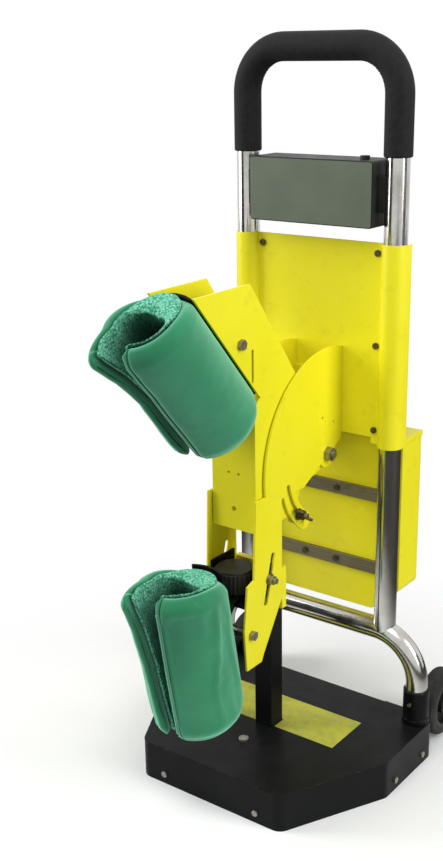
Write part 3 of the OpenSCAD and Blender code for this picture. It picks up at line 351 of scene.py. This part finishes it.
# %% [markdown]
# ## Mesh helper
#
# The soft pieces are grids of points: rings that follow each other, joined by faces and closed at
# both ends. Writing the points with numpy and joining them with one function keeps each piece to
# its own formula. Smooth steps and smooth noise shape the formulas.


# %% Mesh helper
def grid_piece(name, rings, finish):
    """A closed skin through rings of points, an array of shape (rings, points, 3)."""
    count, around = rings.shape[:2]
    points = [tuple(p) for p in rings.reshape(-1, 3)]
    faces = []
    for i in range(count - 1):
        for j in range(around):
            k = (j + 1) % around
            faces.append((i * around + j, i * around + k, (i + 1) * around + k, (i + 1) * around + j))
    faces.append(tuple(range(around - 1, -1, -1)))
    faces.append(tuple(range((count - 1) * around, count * around)))
    mesh = bpy.data.meshes.new(name)
    mesh.from_pydata(points, [], faces)
    work = bmesh.new()
    work.from_mesh(mesh)
    bmesh.ops.triangulate(work, faces=[f for f in work.faces if len(f.verts) > 4])
    bmesh.ops.recalc_face_normals(work, faces=work.faces)
    work.to_mesh(mesh)
    work.free()
    mesh.polygons.foreach_set("use_smooth", [True] * len(mesh.polygons))
    mesh.materials.append(finish.material)
    piece = bpy.data.objects.new(name, mesh)
    bpy.context.scene.collection.objects.link(piece)
    print(name, "has", len(points), "points")
    return piece


def ease(t):
    t = np.clip(t, 0, 1)
    return t * t * (3 - 2 * t)


def ramp(value, start, length):
    """0 up to the start, then a smooth climb to 1 over this length."""
    return ease((value - start) / length)


def wander(places, scale, seed):
    """Smooth noise from -1 to 1 at each place."""
    shift = Vector((seed * 3.1, seed * 1.7, seed * 2.3))
    flat = places.reshape(-1, 3)
    values = [noise.noise(Vector(p) * scale + shift) for p in flat]
    return np.array(values).reshape(places.shape[:-1])


def waves(places, sizes, seed):
    """Noise of several sizes added up, each with its height and its scale."""
    return sum(high * wander(places, scale, seed + i) for i, (high, scale) in enumerate(sizes))


# %% [markdown]
# ## Foam grip
#
# A closed-cell foam tube is pushed over the handle and round both bends. A curve with a bevel
# would give a perfect tube, but foam is squeezed on the inside of a bend, where it ripples, and its
# cut ends are soft. So the rings are placed along the handle's centre line and their radius is
# changed where the foam would change it.

# %% Foam grip
foam = Finish("closed_cell_foam", Specular_IOR_Level=0.12, Sheen_Weight=0.04)
skin = foam.noise(120.0, 4.0)
foam.set("Base Color", foam.mix(foam.span(skin, 0.35, 0.65), srgb(26, 26, 27), srgb(36, 36, 37)))
foam.set("Roughness", foam.span(skin, 0.3, 0.7, 0.62, 0.8))
foam.bump(foam.cells(1100.0), 0.15 * MM, 0.6)

grip_low, grip_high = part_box("handle_grip")
GRIP_R = (grip_high.y - grip_low.y) / 2
BEND_R = 60 * MM
END_ROUND, END_STEPS = 2.4 * MM, 6
GRIP_SIDES = 48
GRIP_STEP = 3.0 * MM
RIPPLE_H, RIPPLE_L = 0.5 * MM, 7 * MM

half_pitch = grip_high.x - GRIP_R
grip_y = (grip_low.y + grip_high.y) / 2
top_z = grip_high.z - GRIP_R
leg_l = top_z - BEND_R - grip_low.z
bend_l = BEND_R * math.pi / 2
run_l = 2 * (half_pitch - BEND_R)
grip_l = 2 * leg_l + 2 * bend_l + run_l


def grip_line(s):
    """The point of the handle's centre line at length s, and how far round the bends it has turned."""
    if s > grip_l / 2:
        point, turn = grip_line(grip_l - s)
        return Vector((-point.x, point.y, point.z)), math.pi - turn
    if s < leg_l:
        return Vector((half_pitch, grip_y, grip_low.z + s)), 0.0
    if s < leg_l + bend_l:
        turn = (s - leg_l) / BEND_R
        x = half_pitch - BEND_R + BEND_R * math.cos(turn)
        return Vector((x, grip_y, top_z - BEND_R + BEND_R * math.sin(turn))), turn
    return Vector((half_pitch - BEND_R - (s - leg_l - bend_l), grip_y, top_z)), math.pi / 2


def bend_share(s):
    """1 in the middle of a bend, 0 on the straight runs."""
    inside = min(s, grip_l - s) - leg_l
    return math.sin(math.pi * inside / bend_l) ** 2 if 0 < inside < bend_l else 0.0


ends = [END_ROUND * (1 - math.cos(a)) for a in np.linspace(0, math.pi / 2, END_STEPS)]
between = np.linspace(0, grip_l, int(grip_l / GRIP_STEP))
between = [s for s in between if END_ROUND < s < grip_l - END_ROUND]
grip_places = ends + between + [grip_l - e for e in ends[::-1]]
grip_rings = []
for s in grip_places:
    middle, turn = grip_line(s)
    outward = Vector((math.cos(turn), 0, math.sin(turn)))
    cut = max(0.0, END_ROUND - min(s, grip_l - s))
    radius = GRIP_R - END_ROUND + math.sqrt(max(0.0, END_ROUND ** 2 - cut ** 2))
    ring = []
    for a in np.linspace(0, 2 * math.pi, GRIP_SIDES, endpoint=False):
        squeezed = max(0.0, -math.cos(a)) * bend_share(s)
        ripple = squeezed * RIPPLE_H * math.sin(2 * math.pi * s / RIPPLE_L)
        away = outward * math.cos(a) + Vector((0, math.sin(a), 0))
        ring.append(middle + away * (radius + ripple - RIPPLE_H * squeezed))
    grip_rings.append(ring)
grip = grid_piece("foam_grip", np.array(grip_rings), foam)
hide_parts("handle_grip")
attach(grip, "root")

# %% [markdown]
# ## Sleeve finishes
#
# The sleeve's cover is a smooth coated cloth over foam. It has a very fine weave, and a soft sheen
# that makes it paler where it is seen at a slant. The lining is terry: rows of loops whose tips catch
# the light and whose roots stay dark, which a cell pattern gives. Both have painted shade: their
# colour is painted darker in narrow gaps and deep inside, where shade falls. The thread is a paler green.

# %% Sleeve finishes
cloth = Finish("coated_green_cloth", Sheen_Weight=1.0, Sheen_Roughness=0.55,
               Sheen_Tint=(0.42, 1, 0.72, 1), Specular_IOR_Level=0.1)
fade = cloth.noise(14.0, 3.0)
dye = cloth.mix(cloth.span(fade, 0.3, 0.7), srgb(29, 114, 75), srgb(39, 130, 87))
handled = cloth.span(cloth.noise(55.0, 5.0, 0.7), 0.55, 0.8)
dye = cloth.mix(cloth.times(handled, 0.3), dye, srgb(24, 90, 59))
# Painted shade: the cloth's colour goes to a dark green in narrow gaps and deep inside.
free_of_painted_shade = cloth.span(cloth.open_to_light(40 * MM), 0.3, 0.85)
cloth.set("Base Color", cloth.mix(free_of_painted_shade, srgb(8, 38, 26), dye))
cloth.set("Roughness", cloth.span(cloth.noise(35.0, 4.0), 0.3, 0.7, 0.46, 0.6))
weave = cloth.noise(1900.0, 1.0)
cloth.bump(weave, 0.1 * MM, 0.35)

terry = Finish("mint_terry", Sheen_Weight=0.4, Sheen_Roughness=0.5, Sheen_Tint=(0.3, 1, 0.7, 1),
               Roughness=0.95, Specular_IOR_Level=0.05)
loops = terry.cells(330.0)
patch = terry.noise(90.0, 4.0, 0.7)
yarn = terry.mix(terry.span(loops, 0.15, 0.75), srgb(156, 232, 202), srgb(46, 132, 98))
yarn = terry.mix(terry.span(patch, 0.4, 0.7, 0.0, 0.45), yarn, srgb(84, 180, 142))
# Painted shade: the terry's colour goes to a dark green in the hollow and the slit.
free_of_painted_shade = terry.span(terry.open_to_light(90 * MM), 0.3, 0.68)
terry.set("Base Color", terry.mix(free_of_painted_shade, srgb(9, 48, 33), yarn))
terry.bump(loops, 1.0 * MM, 0.9)

thread = Finish("mint_thread", Sheen_Weight=0.3)
twist = thread.noise(1.0, 2.0, 0.5, thread.stretched(900, 900, 300))
thread.set("Base Color", thread.mix(twist, srgb(104, 190, 154), srgb(142, 214, 184)))
thread.set("Roughness", thread.span(twist, 0.3, 0.7, 0.6, 0.85))
thread.bump(twist, 0.2 * MM, 0.5)

# %% [markdown]
# ## Sleeves
#
# Each sleeve is a padded roll that is open along a slit, so that it can be put round a handrail.
# The slit is turned a little to one side. Rings of points go round from one lip of the slit to the
# other. A ring is a long loop: up the outer wall, over a broad soft shoulder, and down the inside.
# Towards each lip the ring gets thinner, which rounds the lip.
#
# Many forms grow gradually. A pair of numbers then says where a change starts and over what length
# it grows: levels are shares of the sleeve's length from its middle, and turns are radians round from
# the back.

# %% Sleeve sizes
SLEEVE_R = 60 * MM
COVER_T = 17 * MM
LINING_T = 8 * MM
SEAT = 0.2 * MM
SLEEVE_L = 212 * MM
LINING_SHORT = 4 * MM
SLIT = math.radians(30)
SLIT_TURN = math.radians(12)
RIGHT_LIP = math.pi - SLIT / 2 + SLIT_TURN
LEFT_LIP = -(math.pi - SLIT / 2 - SLIT_TURN)
LIP_STEPS, LIP_START, LIP_THIN = 9, 0.04, 0.002
SHOULDER = 16 * MM
SLOPE = 0.6
FLARE_REACH = 46 * MM
CLOSED = math.radians(13)
CLOSED_REACH, CLOSED_LEVELS = 55 * MM, (0.02, 0.45)
FRONT_RISE, BACK_DROP = 5 * MM, 12 * MM
FRONT_TURNS, DROP_TURN = (1.0, 1.6), 1.9
TOP_LEVELS, BOTTOM_LEVELS = (0.1, 0.4), (0.2, 0.3)
SLEEVES = {
    "upper": {"body": "upper_arm", "holder": Vector((0, -169, 610)) * MM, "slip": 17 * MM,
              "lean": math.radians(41.5), "seed": 3, "sag": 0,
              "flare": ((-0.5, 4), (-0.32, 6), (0.0, 3), (0.25, 10), (0.5, 24))},
    "lower": {"body": "lower_holder", "holder": Vector((0, -177, 248)) * MM, "slip": 4 * MM,
              "lean": math.radians(10.5), "seed": 8, "sag": 4 * MM,
              "flare": ((-0.5, 5), (-0.3, 7), (0.0, 8), (0.25, 14), (0.5, 25))},
}


def to_frame(points, sleeve):
    """Points of an upright sleeve about its own axis, leaned and moved to their place."""
    c, s = math.cos(sleeve["lean"]), math.sin(sleeve["lean"])
    x, y, z = points[..., 0], points[..., 1], points[..., 2] + sleeve["slip"]
    leaned = np.stack([x, y * c - z * s, y * s + z * c], axis=-1)
    return leaned + np.array(sleeve["holder"])


def roll(r, wall, length, shoulder, step):
    """Rings of a C-shaped roll: arrays of radius, turn from the back, height and outward share."""
    mid_r, rim = r - wall / 2, wall / 2
    lip_turn = rim / mid_r
    flat = np.arange(LEFT_LIP + lip_turn, RIGHT_LIP - lip_turn, step / mid_r)
    rounds = 1 - np.sin(np.linspace(LIP_START, 1, LIP_STEPS) * math.pi / 2)
    turns = np.concatenate([LEFT_LIP + lip_turn * rounds, flat[1:], RIGHT_LIP - lip_turn * rounds[::-1]])
    to_lip = np.minimum(turns - LEFT_LIP, RIGHT_LIP - turns)
    thin = np.sqrt(np.maximum(1 - np.clip(1 - to_lip / lip_turn, 0, 1) ** 2, LIP_THIN))
    straight = length / 2 - shoulder
    outer = np.linspace(-1, 1, max(4, int(2 * straight / step)))
    inner = np.linspace(1, -1, max(4, int((length - wall) / step)))
    over = np.linspace(0, math.pi / 2, max(8, int(2 * shoulder / step)))[1:]
    under = np.linspace(math.pi / 2, math.pi, max(6, int(2 * rim / step)))[1:-1]
    sloped = SLOPE * (1 - over / (math.pi / 2)) + (1 - SLOPE) * np.cos(over)
    climb = shoulder * (SLOPE * over / (math.pi / 2) + (1 - SLOPE) * np.sin(over))
    sink = shoulder - rim * (1 - np.sin(under))
    across = np.concatenate([np.ones(len(outer)), sloped, np.cos(under), -np.ones(len(inner)),
                             np.cos(under[::-1]), sloped[::-1]])
    at_end = np.ones(len(over) + len(under))
    fixed = np.concatenate([outer, at_end, inner, -at_end])
    domed = np.concatenate([0 * outer, climb, sink, inner * (shoulder - rim), -sink[::-1], -climb[::-1]])
    radius = mid_r + np.outer(thin, across) * wall / 2
    height = fixed * straight + np.outer(np.sqrt(thin), domed)
    turn_grid = np.repeat(turns[:, None], len(across), 1)
    across_grid = np.repeat(across[None, :], len(turns), 0)
    return radius, turn_grid, height, across_grid


def placed(radius, turns, height):
    return np.stack([radius * np.sin(turns), radius * np.cos(turns), height], axis=-1)


def from_left(turns):
    """The way from the left lip, along the outside."""
    return (turns - LEFT_LIP) * SLEEVE_R


def from_lips(turns):
    """The way from the nearer lip, along the outside."""
    return np.minimum(turns - LEFT_LIP, RIGHT_LIP - turns) * SLEEVE_R


def back_share(turns, reach):
    """1 at the back, 0 from this turn on."""
    return ease(1 - np.abs(turns) / reach)


def flared(turns, height, sleeve):
    """How far the left lip stands off, which changes along the sleeve."""
    levels, amounts = zip(*sleeve["flare"])
    amount = np.interp(height / SLEEVE_L, levels, amounts) * MM
    return amount * ease(1 - from_left(turns) / FLARE_REACH)


def closed(turns, height):
    """The turns with the left lip drawn towards the right one at the bottom."""
    near = ease(1 - from_left(turns) / CLOSED_REACH)
    return turns - CLOSED * near * ramp(-height / SLEEVE_L, *CLOSED_LEVELS)


def slanted(turns, height, sleeve):
    """How far the ends are pulled: up at the free front, down where the holder ends at the back."""
    front = ramp(np.abs(turns), *FRONT_TURNS)
    top = ramp(height / SLEEVE_L, *TOP_LEVELS)
    bottom = ramp(-height / SLEEVE_L, *BOTTOM_LEVELS)
    pulled = FRONT_RISE * front - BACK_DROP * back_share(turns, DROP_TURN)
    return top * pulled - bottom * sleeve["sag"] * front


print("slit:", round(SLIT * SLEEVE_R / MM, 1), "mm wide at the outside")

# %% [markdown]
# The cover is a coated cloth round foam. A smooth formula alone looks moulded, so two sewn lines are
# drawn in beside the lips, and then a short cloth simulation lets the padding press outwards. The
# cloth is held where the holder backs it, along the sewn lines and on the inside, so it swells between
# them and creases where it is held. The move of each point is limited, which keeps the sleeve its
# size. The rim is folded in over the lining, and at the back it is lower, because the terry is folded
# out over it there.

# %% Sleeve cover
COVER_INSET, COVER_SHORT, COVER_STEP = 0.6 * MM, 1 * MM, 3.5 * MM
HELD_TURNS = (math.radians(34), 0.5)
HELD_INSIDE = (-0.2, 0.4)
SWELLS = ((1.1 * MM, 20.0), (0.4 * MM, 75.0))
STITCH, STITCH_FREE = 7 * MM, 5 * MM
GROOVE_DEEP, GROOVE_WIDE = 1.3 * MM, 1.8 * MM
FOLD, FOLD_EDGE, FOLD_REACH, FOLD_TURN = 12 * MM, 4 * MM, 5.4 * MM, 1.6
FOLD_FROM = 0.75
LIP_FADE = 10 * MM
RIM_DROP, RIM_TURN, RIM_LEVELS = 10 * MM, 1.5, (0.3, 0.18)
PRESSURE = 5.0
FRAMES = 16
MOST_MOVE = 3.0 * MM


def near_rim(turns, height, deep):
    """1 within this depth of the top, except at the back."""
    return ease((height - SLEEVE_L / 2 + deep) / FOLD_EDGE) * (1 - back_share(turns, FOLD_TURN))


def cover_points(sleeve):
    """The rings of a cover, and how firmly each point is held while it swells."""
    r, wall, length = SLEEVE_R - COVER_INSET, COVER_T - COVER_INSET, SLEEVE_L - COVER_SHORT
    radius, turns, height, across = roll(r, wall, length, SHOULDER, COVER_STEP)
    outer = np.clip(across, 0, 1)
    free = ramp(np.abs(turns), *HELD_TURNS)
    to_lip = from_lips(turns)
    soft = waves(placed(radius, turns, height), SWELLS, sleeve["seed"])
    groove = -GROOVE_DEEP * np.exp(-((to_lip - STITCH) / GROOVE_WIDE) ** 2)
    top = near_rim(turns, height, FOLD)
    folded = FOLD_REACH * top * np.clip(FOLD_FROM - across, 0, 1) * ease(to_lip / LIP_FADE)
    moved = radius + free * outer * (soft + groove) + flared(turns, height, sleeve) - folded
    lowered = RIM_DROP * back_share(turns, RIM_TURN) * ramp(height / SLEEVE_L, *RIM_LEVELS)
    held = 1 - free * ramp(across, *HELD_INSIDE) * ramp(to_lip, STITCH, STITCH_FREE)
    level = height - lowered + slanted(turns, height, sleeve)
    return to_frame(placed(moved, closed(turns, height), level), sleeve), held


def puff(piece, held):
    """Runs the cloth simulation on a piece and keeps its result in the mesh."""
    group = piece.vertex_groups.new(name="held")
    for index, weight in enumerate(held.ravel()):
        group.add([index], float(weight), "REPLACE")
    cloth_step = piece.modifiers.new("padding", "CLOTH")
    settings = cloth_step.settings
    settings.quality = 5
    settings.mass = 0.3
    settings.tension_stiffness = 18
    settings.compression_stiffness = 12
    settings.bending_stiffness = 0.8
    settings.use_pressure = True
    settings.uniform_pressure_force = PRESSURE
    settings.effector_weights.gravity = 0
    settings.vertex_group_mass = group.name
    settings.pin_stiffness = 1
    cloth_step.point_cache.frame_start, cloth_step.point_cache.frame_end = 1, FRAMES
    for number in range(1, FRAMES + 1):
        bpy.context.scene.frame_set(number)
    simulated = piece.evaluated_get(bpy.context.evaluated_depsgraph_get()).data
    before, after = (np.empty(3 * len(piece.data.vertices)) for _ in range(2))
    piece.data.vertices.foreach_get("co", before)
    simulated.vertices.foreach_get("co", after)
    piece.modifiers.remove(cloth_step)
    piece.vertex_groups.remove(group)
    bpy.context.scene.frame_set(1)
    move = (after - before).reshape(-1, 3)
    size = np.linalg.norm(move, axis=1, keepdims=True)
    move *= np.minimum(1, MOST_MOVE / np.maximum(size, 1e-9))
    piece.data.vertices.foreach_set("co", (before.reshape(-1, 3) + move).ravel())
    piece.data.update()
    print(piece.name, "swelled by up to", round(float(size.max()) / MM, 2), "mm")


# %% [markdown]
# The lining is terry, a towel cloth, inside the roll. Its pile is uneven, so each point of the inner
# side is moved by noise at two sizes. At the back it is folded out over the cover's rim and rolled in
# thickly, and elsewhere its edge is tucked under the cover's fold.

# %% Terry lining
LINING_STEP = 2.0 * MM
PILE = ((0.9 * MM, 420.0), (1.0 * MM, 60.0))
PILE_SINK, PILE_FROM = 0.4 * MM, 0.4
EDGE_RISE = 1.5 * MM
OUT, OUT_TURN, OUT_LEVELS, OUT_FROM = 13 * MM, 1.5, (0.455, 0.02), 0.3
ROLLED, ROLLED_ASIDE, ROLLED_TURN, ROLLED_LEVELS = 14 * MM, 0.25, 2.0, (0.25, 0.2)
TUCK_DEEPER, TUCK_CLEAR = 5 * MM, 0.5 * MM


def lining_points(sleeve):
    r = SLEEVE_R - COVER_T - SEAT
    radius, turns, height, across = roll(r, LINING_T, SLEEVE_L - LINING_SHORT, LINING_T / 2, LINING_STEP)
    share = height / SLEEVE_L
    pile = waves(placed(radius, turns, height), PILE, sleeve["seed"] + len(SWELLS))
    inner = np.clip(PILE_FROM - across, 0, 1)
    top = ramp(share, *OUT_LEVELS)
    folded = OUT * back_share(turns, OUT_TURN) * top * np.clip(across + OUT_FROM, 0, 1)
    thick = ROLLED * back_share(turns - ROLLED_ASIDE, ROLLED_TURN) * ramp(share, *ROLLED_LEVELS)
    rolled_in = thick * np.clip(-across, 0, 1)
    edge = 1 - np.abs(across)
    raised = edge * pile + EDGE_RISE * top * edge
    tuck = (FOLD_REACH + TUCK_CLEAR) * near_rim(turns, height, FOLD + TUCK_DEEPER)
    tucked = tuck * np.clip((across + 1) / 2, 0, 1) * ease(from_lips(turns) / LIP_FADE)
    moved = radius - inner * (pile + PILE_SINK) + flared(turns, height, sleeve) + folded
    moved = moved - tucked - rolled_in
    level = height + raised + slanted(turns, height, sleeve)
    return to_frame(placed(moved, closed(turns, height), level), sleeve)


# %% [markdown]
# The edge of the cloth is bound with a thin pale cord. It shows beside the right lip and along the
# bottom. Casting rays from outside onto the finished cover finds where it lies, so it follows each
# swelling.

# %% Bound edges
CORD_R = 0.9 * MM
CORD_SIDES = 8
CORD_PROUD = 0.3
LIP_CORD_IN, LIP_CORD_LEVELS, LIP_CORD_POINTS = 3.5 * MM, (-0.45, 0.44), 60
RIM_CORD_LEVEL, RIM_CORD_POINTS = -0.472, 120
RIM_CORD_LEFT, RIM_CORD_RIGHT = LEFT_LIP + 0.12, RIGHT_LIP - 0.06


def cord_on(cover, sleeve, turns, heights):
    """Rings of a cord that lies on the cover along these turns and heights."""
    points = [v.co for v in cover.data.vertices]
    faces = [tuple(p.vertices) for p in cover.data.polygons]
    tree = BVHTree.FromPolygons(points, faces)
    line = []
    for turn, height in zip(turns, heights):
        start = Vector(to_frame(placed(2 * SLEEVE_R, turn, height), sleeve))
        aim = Vector(to_frame(placed(0.0, turn, height), sleeve)) - start
        hit = tree.ray_cast(start, aim.normalized())
        if hit[0] is not None:
            line.append((hit[0], hit[1]))
    rings = []
    for i, (at, normal) in enumerate(line):
        along = (line[min(i + 1, len(line) - 1)][0] - line[max(i - 1, 0)][0]).normalized()
        side = along.cross(normal).normalized()
        up = side.cross(along)
        spin = np.linspace(0, 2 * math.pi, CORD_SIDES, endpoint=False)
        middle = at + CORD_PROUD * CORD_R * up
        rings.append([middle + CORD_R * (side * math.cos(a) + up * math.sin(a)) for a in spin])
    return np.array(rings)


# %% [markdown]
# Both sleeves are now made. Each cover and lining takes the place of its solid and rides on the body
# that carries it, and the cords go with them.

# %% Sleeves
for name, sleeve in SLEEVES.items():
    points, held = cover_points(sleeve)
    padded_cover = grid_piece(name + "_padded_cover", points, cloth)
    puff(padded_cover, held)
    terry_lining = grid_piece(name + "_terry_lining", lining_points(sleeve), terry)
    lip_turns = np.full(LIP_CORD_POINTS, RIGHT_LIP - LIP_CORD_IN / SLEEVE_R)
    lip_levels = np.linspace(*LIP_CORD_LEVELS, LIP_CORD_POINTS) * SLEEVE_L
    lip_cord = grid_piece(name + "_lip_cord", cord_on(padded_cover, sleeve, lip_turns, lip_levels), thread)
    rim_turns = np.linspace(RIM_CORD_LEFT, RIM_CORD_RIGHT, RIM_CORD_POINTS)
    rim_levels = np.full(RIM_CORD_POINTS, RIM_CORD_LEVEL * SLEEVE_L)
    rim_cord = grid_piece(name + "_rim_cord", cord_on(padded_cover, sleeve, rim_turns, rim_levels), thread)
    soft_pieces = ((padded_cover, "_sleeve", "sleeve_green"), (terry_lining, "_lining", "lining_mint"))
    for piece, node, slot in soft_pieces:
        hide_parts(name + node)
        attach(piece, sleeve["body"])
    for piece in (lip_cord, rim_cord):
        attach(piece, sleeve["body"])

# %% [markdown]
# ## Floor and light
#
# The photograph is a studio shot on white. The floor is pale and fades into a white surround, so that
# no horizon shows.

# %% Floor
FLOOR_R = 6.0
FLOOR_FADE = (0.3, 0.72)
scene = bpy.context.scene


def sheet(name, middle, across, rise, finish):
    """A flat sheet, given by the middle of one edge, half that edge and the way to the other edge."""
    corners = [middle - across, middle + across, middle + across + rise, middle - across + rise]
    mesh = bpy.data.meshes.new(name)
    mesh.from_pydata(corners, [], [(0, 1, 2, 3)])
    mesh.materials.append(finish.material)
    made = bpy.data.objects.new(name, mesh)
    scene.collection.objects.link(made)
    return made


pale = Finish("pale_floor", Roughness=0.9, Specular_IOR_Level=0.1)
pale.set("Base Color", srgb(252, 252, 251))
away = pale.add("ShaderNodeVectorMath", {0: pale.place}, operation="LENGTH").outputs["Value"]
clear = pale.add("ShaderNodeBsdfTransparent").outputs[0]
fading = {0: pale.span(away, *FLOOR_FADE), 1: pale.shader.outputs[0], 2: clear}
surface = pale.add("ShaderNodeMixShader", fading).outputs[0]
pale.put(surface, pale.tree.nodes["Material Output"].inputs["Surface"])
floor = sheet("floor", Vector((0, -FLOOR_R, 0)), Vector((FLOOR_R, 0, 0)), Vector((0, 2 * FLOOR_R, 0)), pale)
print("floor:", 2 * FLOOR_R, "m wide")

# %% [markdown]
# Soft light comes from both sides, so the sides of the sleeves are bright and their fronts are darker.
# Large area lamps stand left and right, and a weaker one hangs overhead. The white of the surround is
# seen by the camera and in reflections, and gives the other faces only a weak fill.

# %% Light
scene.view_settings.view_transform = "Standard"
scene.render.film_transparent = False
world = bpy.data.worlds.new("studio")
scene.world = world
world.use_nodes = True
tree = world.node_tree
seen = tree.nodes["Background"]
seen.inputs["Color"].default_value = (1, 1, 1, 1)
seen.inputs["Strength"].default_value = 1.0
fill = tree.nodes.new("ShaderNodeBackground")
fill.inputs["Color"].default_value = (0.95, 0.98, 1, 1)
fill.inputs["Strength"].default_value = 0.3
path = tree.nodes.new("ShaderNodeLightPath")
direct = tree.nodes.new("ShaderNodeMath")
direct.operation = "MAXIMUM"
tree.links.new(path.outputs["Is Camera Ray"], direct.inputs[0])
tree.links.new(path.outputs["Is Glossy Ray"], direct.inputs[1])
blend = tree.nodes.new("ShaderNodeMixShader")
tree.links.new(direct.outputs[0], blend.inputs[0])
tree.links.new(fill.outputs[0], blend.inputs[1])
tree.links.new(seen.outputs[0], blend.inputs[2])
tree.links.new(blend.outputs[0], tree.nodes["World Output"].inputs["Surface"])


def lamp(name, at, aim, size, power):
    light = bpy.data.lights.new(name, "AREA")
    light.shape = "RECTANGLE"
    light.size, light.size_y = size
    light.energy = power
    made = bpy.data.objects.new(name, light)
    made.location = at
    made.rotation_euler = (Vector(aim) - Vector(at)).to_track_quat("-Z", "Y").to_euler()
    scene.collection.objects.link(made)


lamp("left_lamp", (-1.9, -1.1, 1.3), (0, -0.1, 0.5), (1.0, 1.8), 40)
lamp("right_lamp", (2.1, 0.2, 1.4), (0, 0, 0.5), (1.0, 1.8), 38)
lamp("top_lamp", (0.2, -0.9, 2.6), (0, 0, 0.5), (1.6, 1.6), 26)
print("lamps:", len(bpy.data.lights))

# %% [markdown]
# Polished tube looks like metal only when it has something dark to reflect. Two tall dark cards
# stand left and right of the camera, and a third lies under the floor, which is clear away from the
# trolley, so the lower tubes mirror it. They are hidden from the camera and give no shade, and only
# reflections see them.

# %% Dark cards
CARD_FAR, CARD_W, CARD_H = 2.2, 1.1, 3.0
CARD_ASIDE = math.radians(68)
LYING_W, LYING_DROP = 8.0, 0.01
card_paint = Finish("dark_card", Roughness=0.9, Specular_IOR_Level=0.1)
card_paint.set("Base Color", srgb(62, 61, 57))
cards = [(Vector((0, -LYING_W / 2, -LYING_DROP)), Vector((LYING_W / 2, 0, 0)), Vector((0, LYING_W, 0)))]
for side in (-1, 1):
    facing = TURN + side * CARD_ASIDE
    middle = Vector((math.sin(facing), -math.cos(facing), 0)) * CARD_FAR
    across = Vector((math.cos(facing), math.sin(facing), 0)) * CARD_W / 2
    cards.append((middle, across, Vector((0, 0, CARD_H))))
for middle, across, rise in cards:
    card = sheet("dark_card", middle, across, rise, card_paint)
    for ray in ("camera", "diffuse", "shadow", "transmission"):
        setattr(card, "visible_" + ray, False)
print("cards:", len(cards))
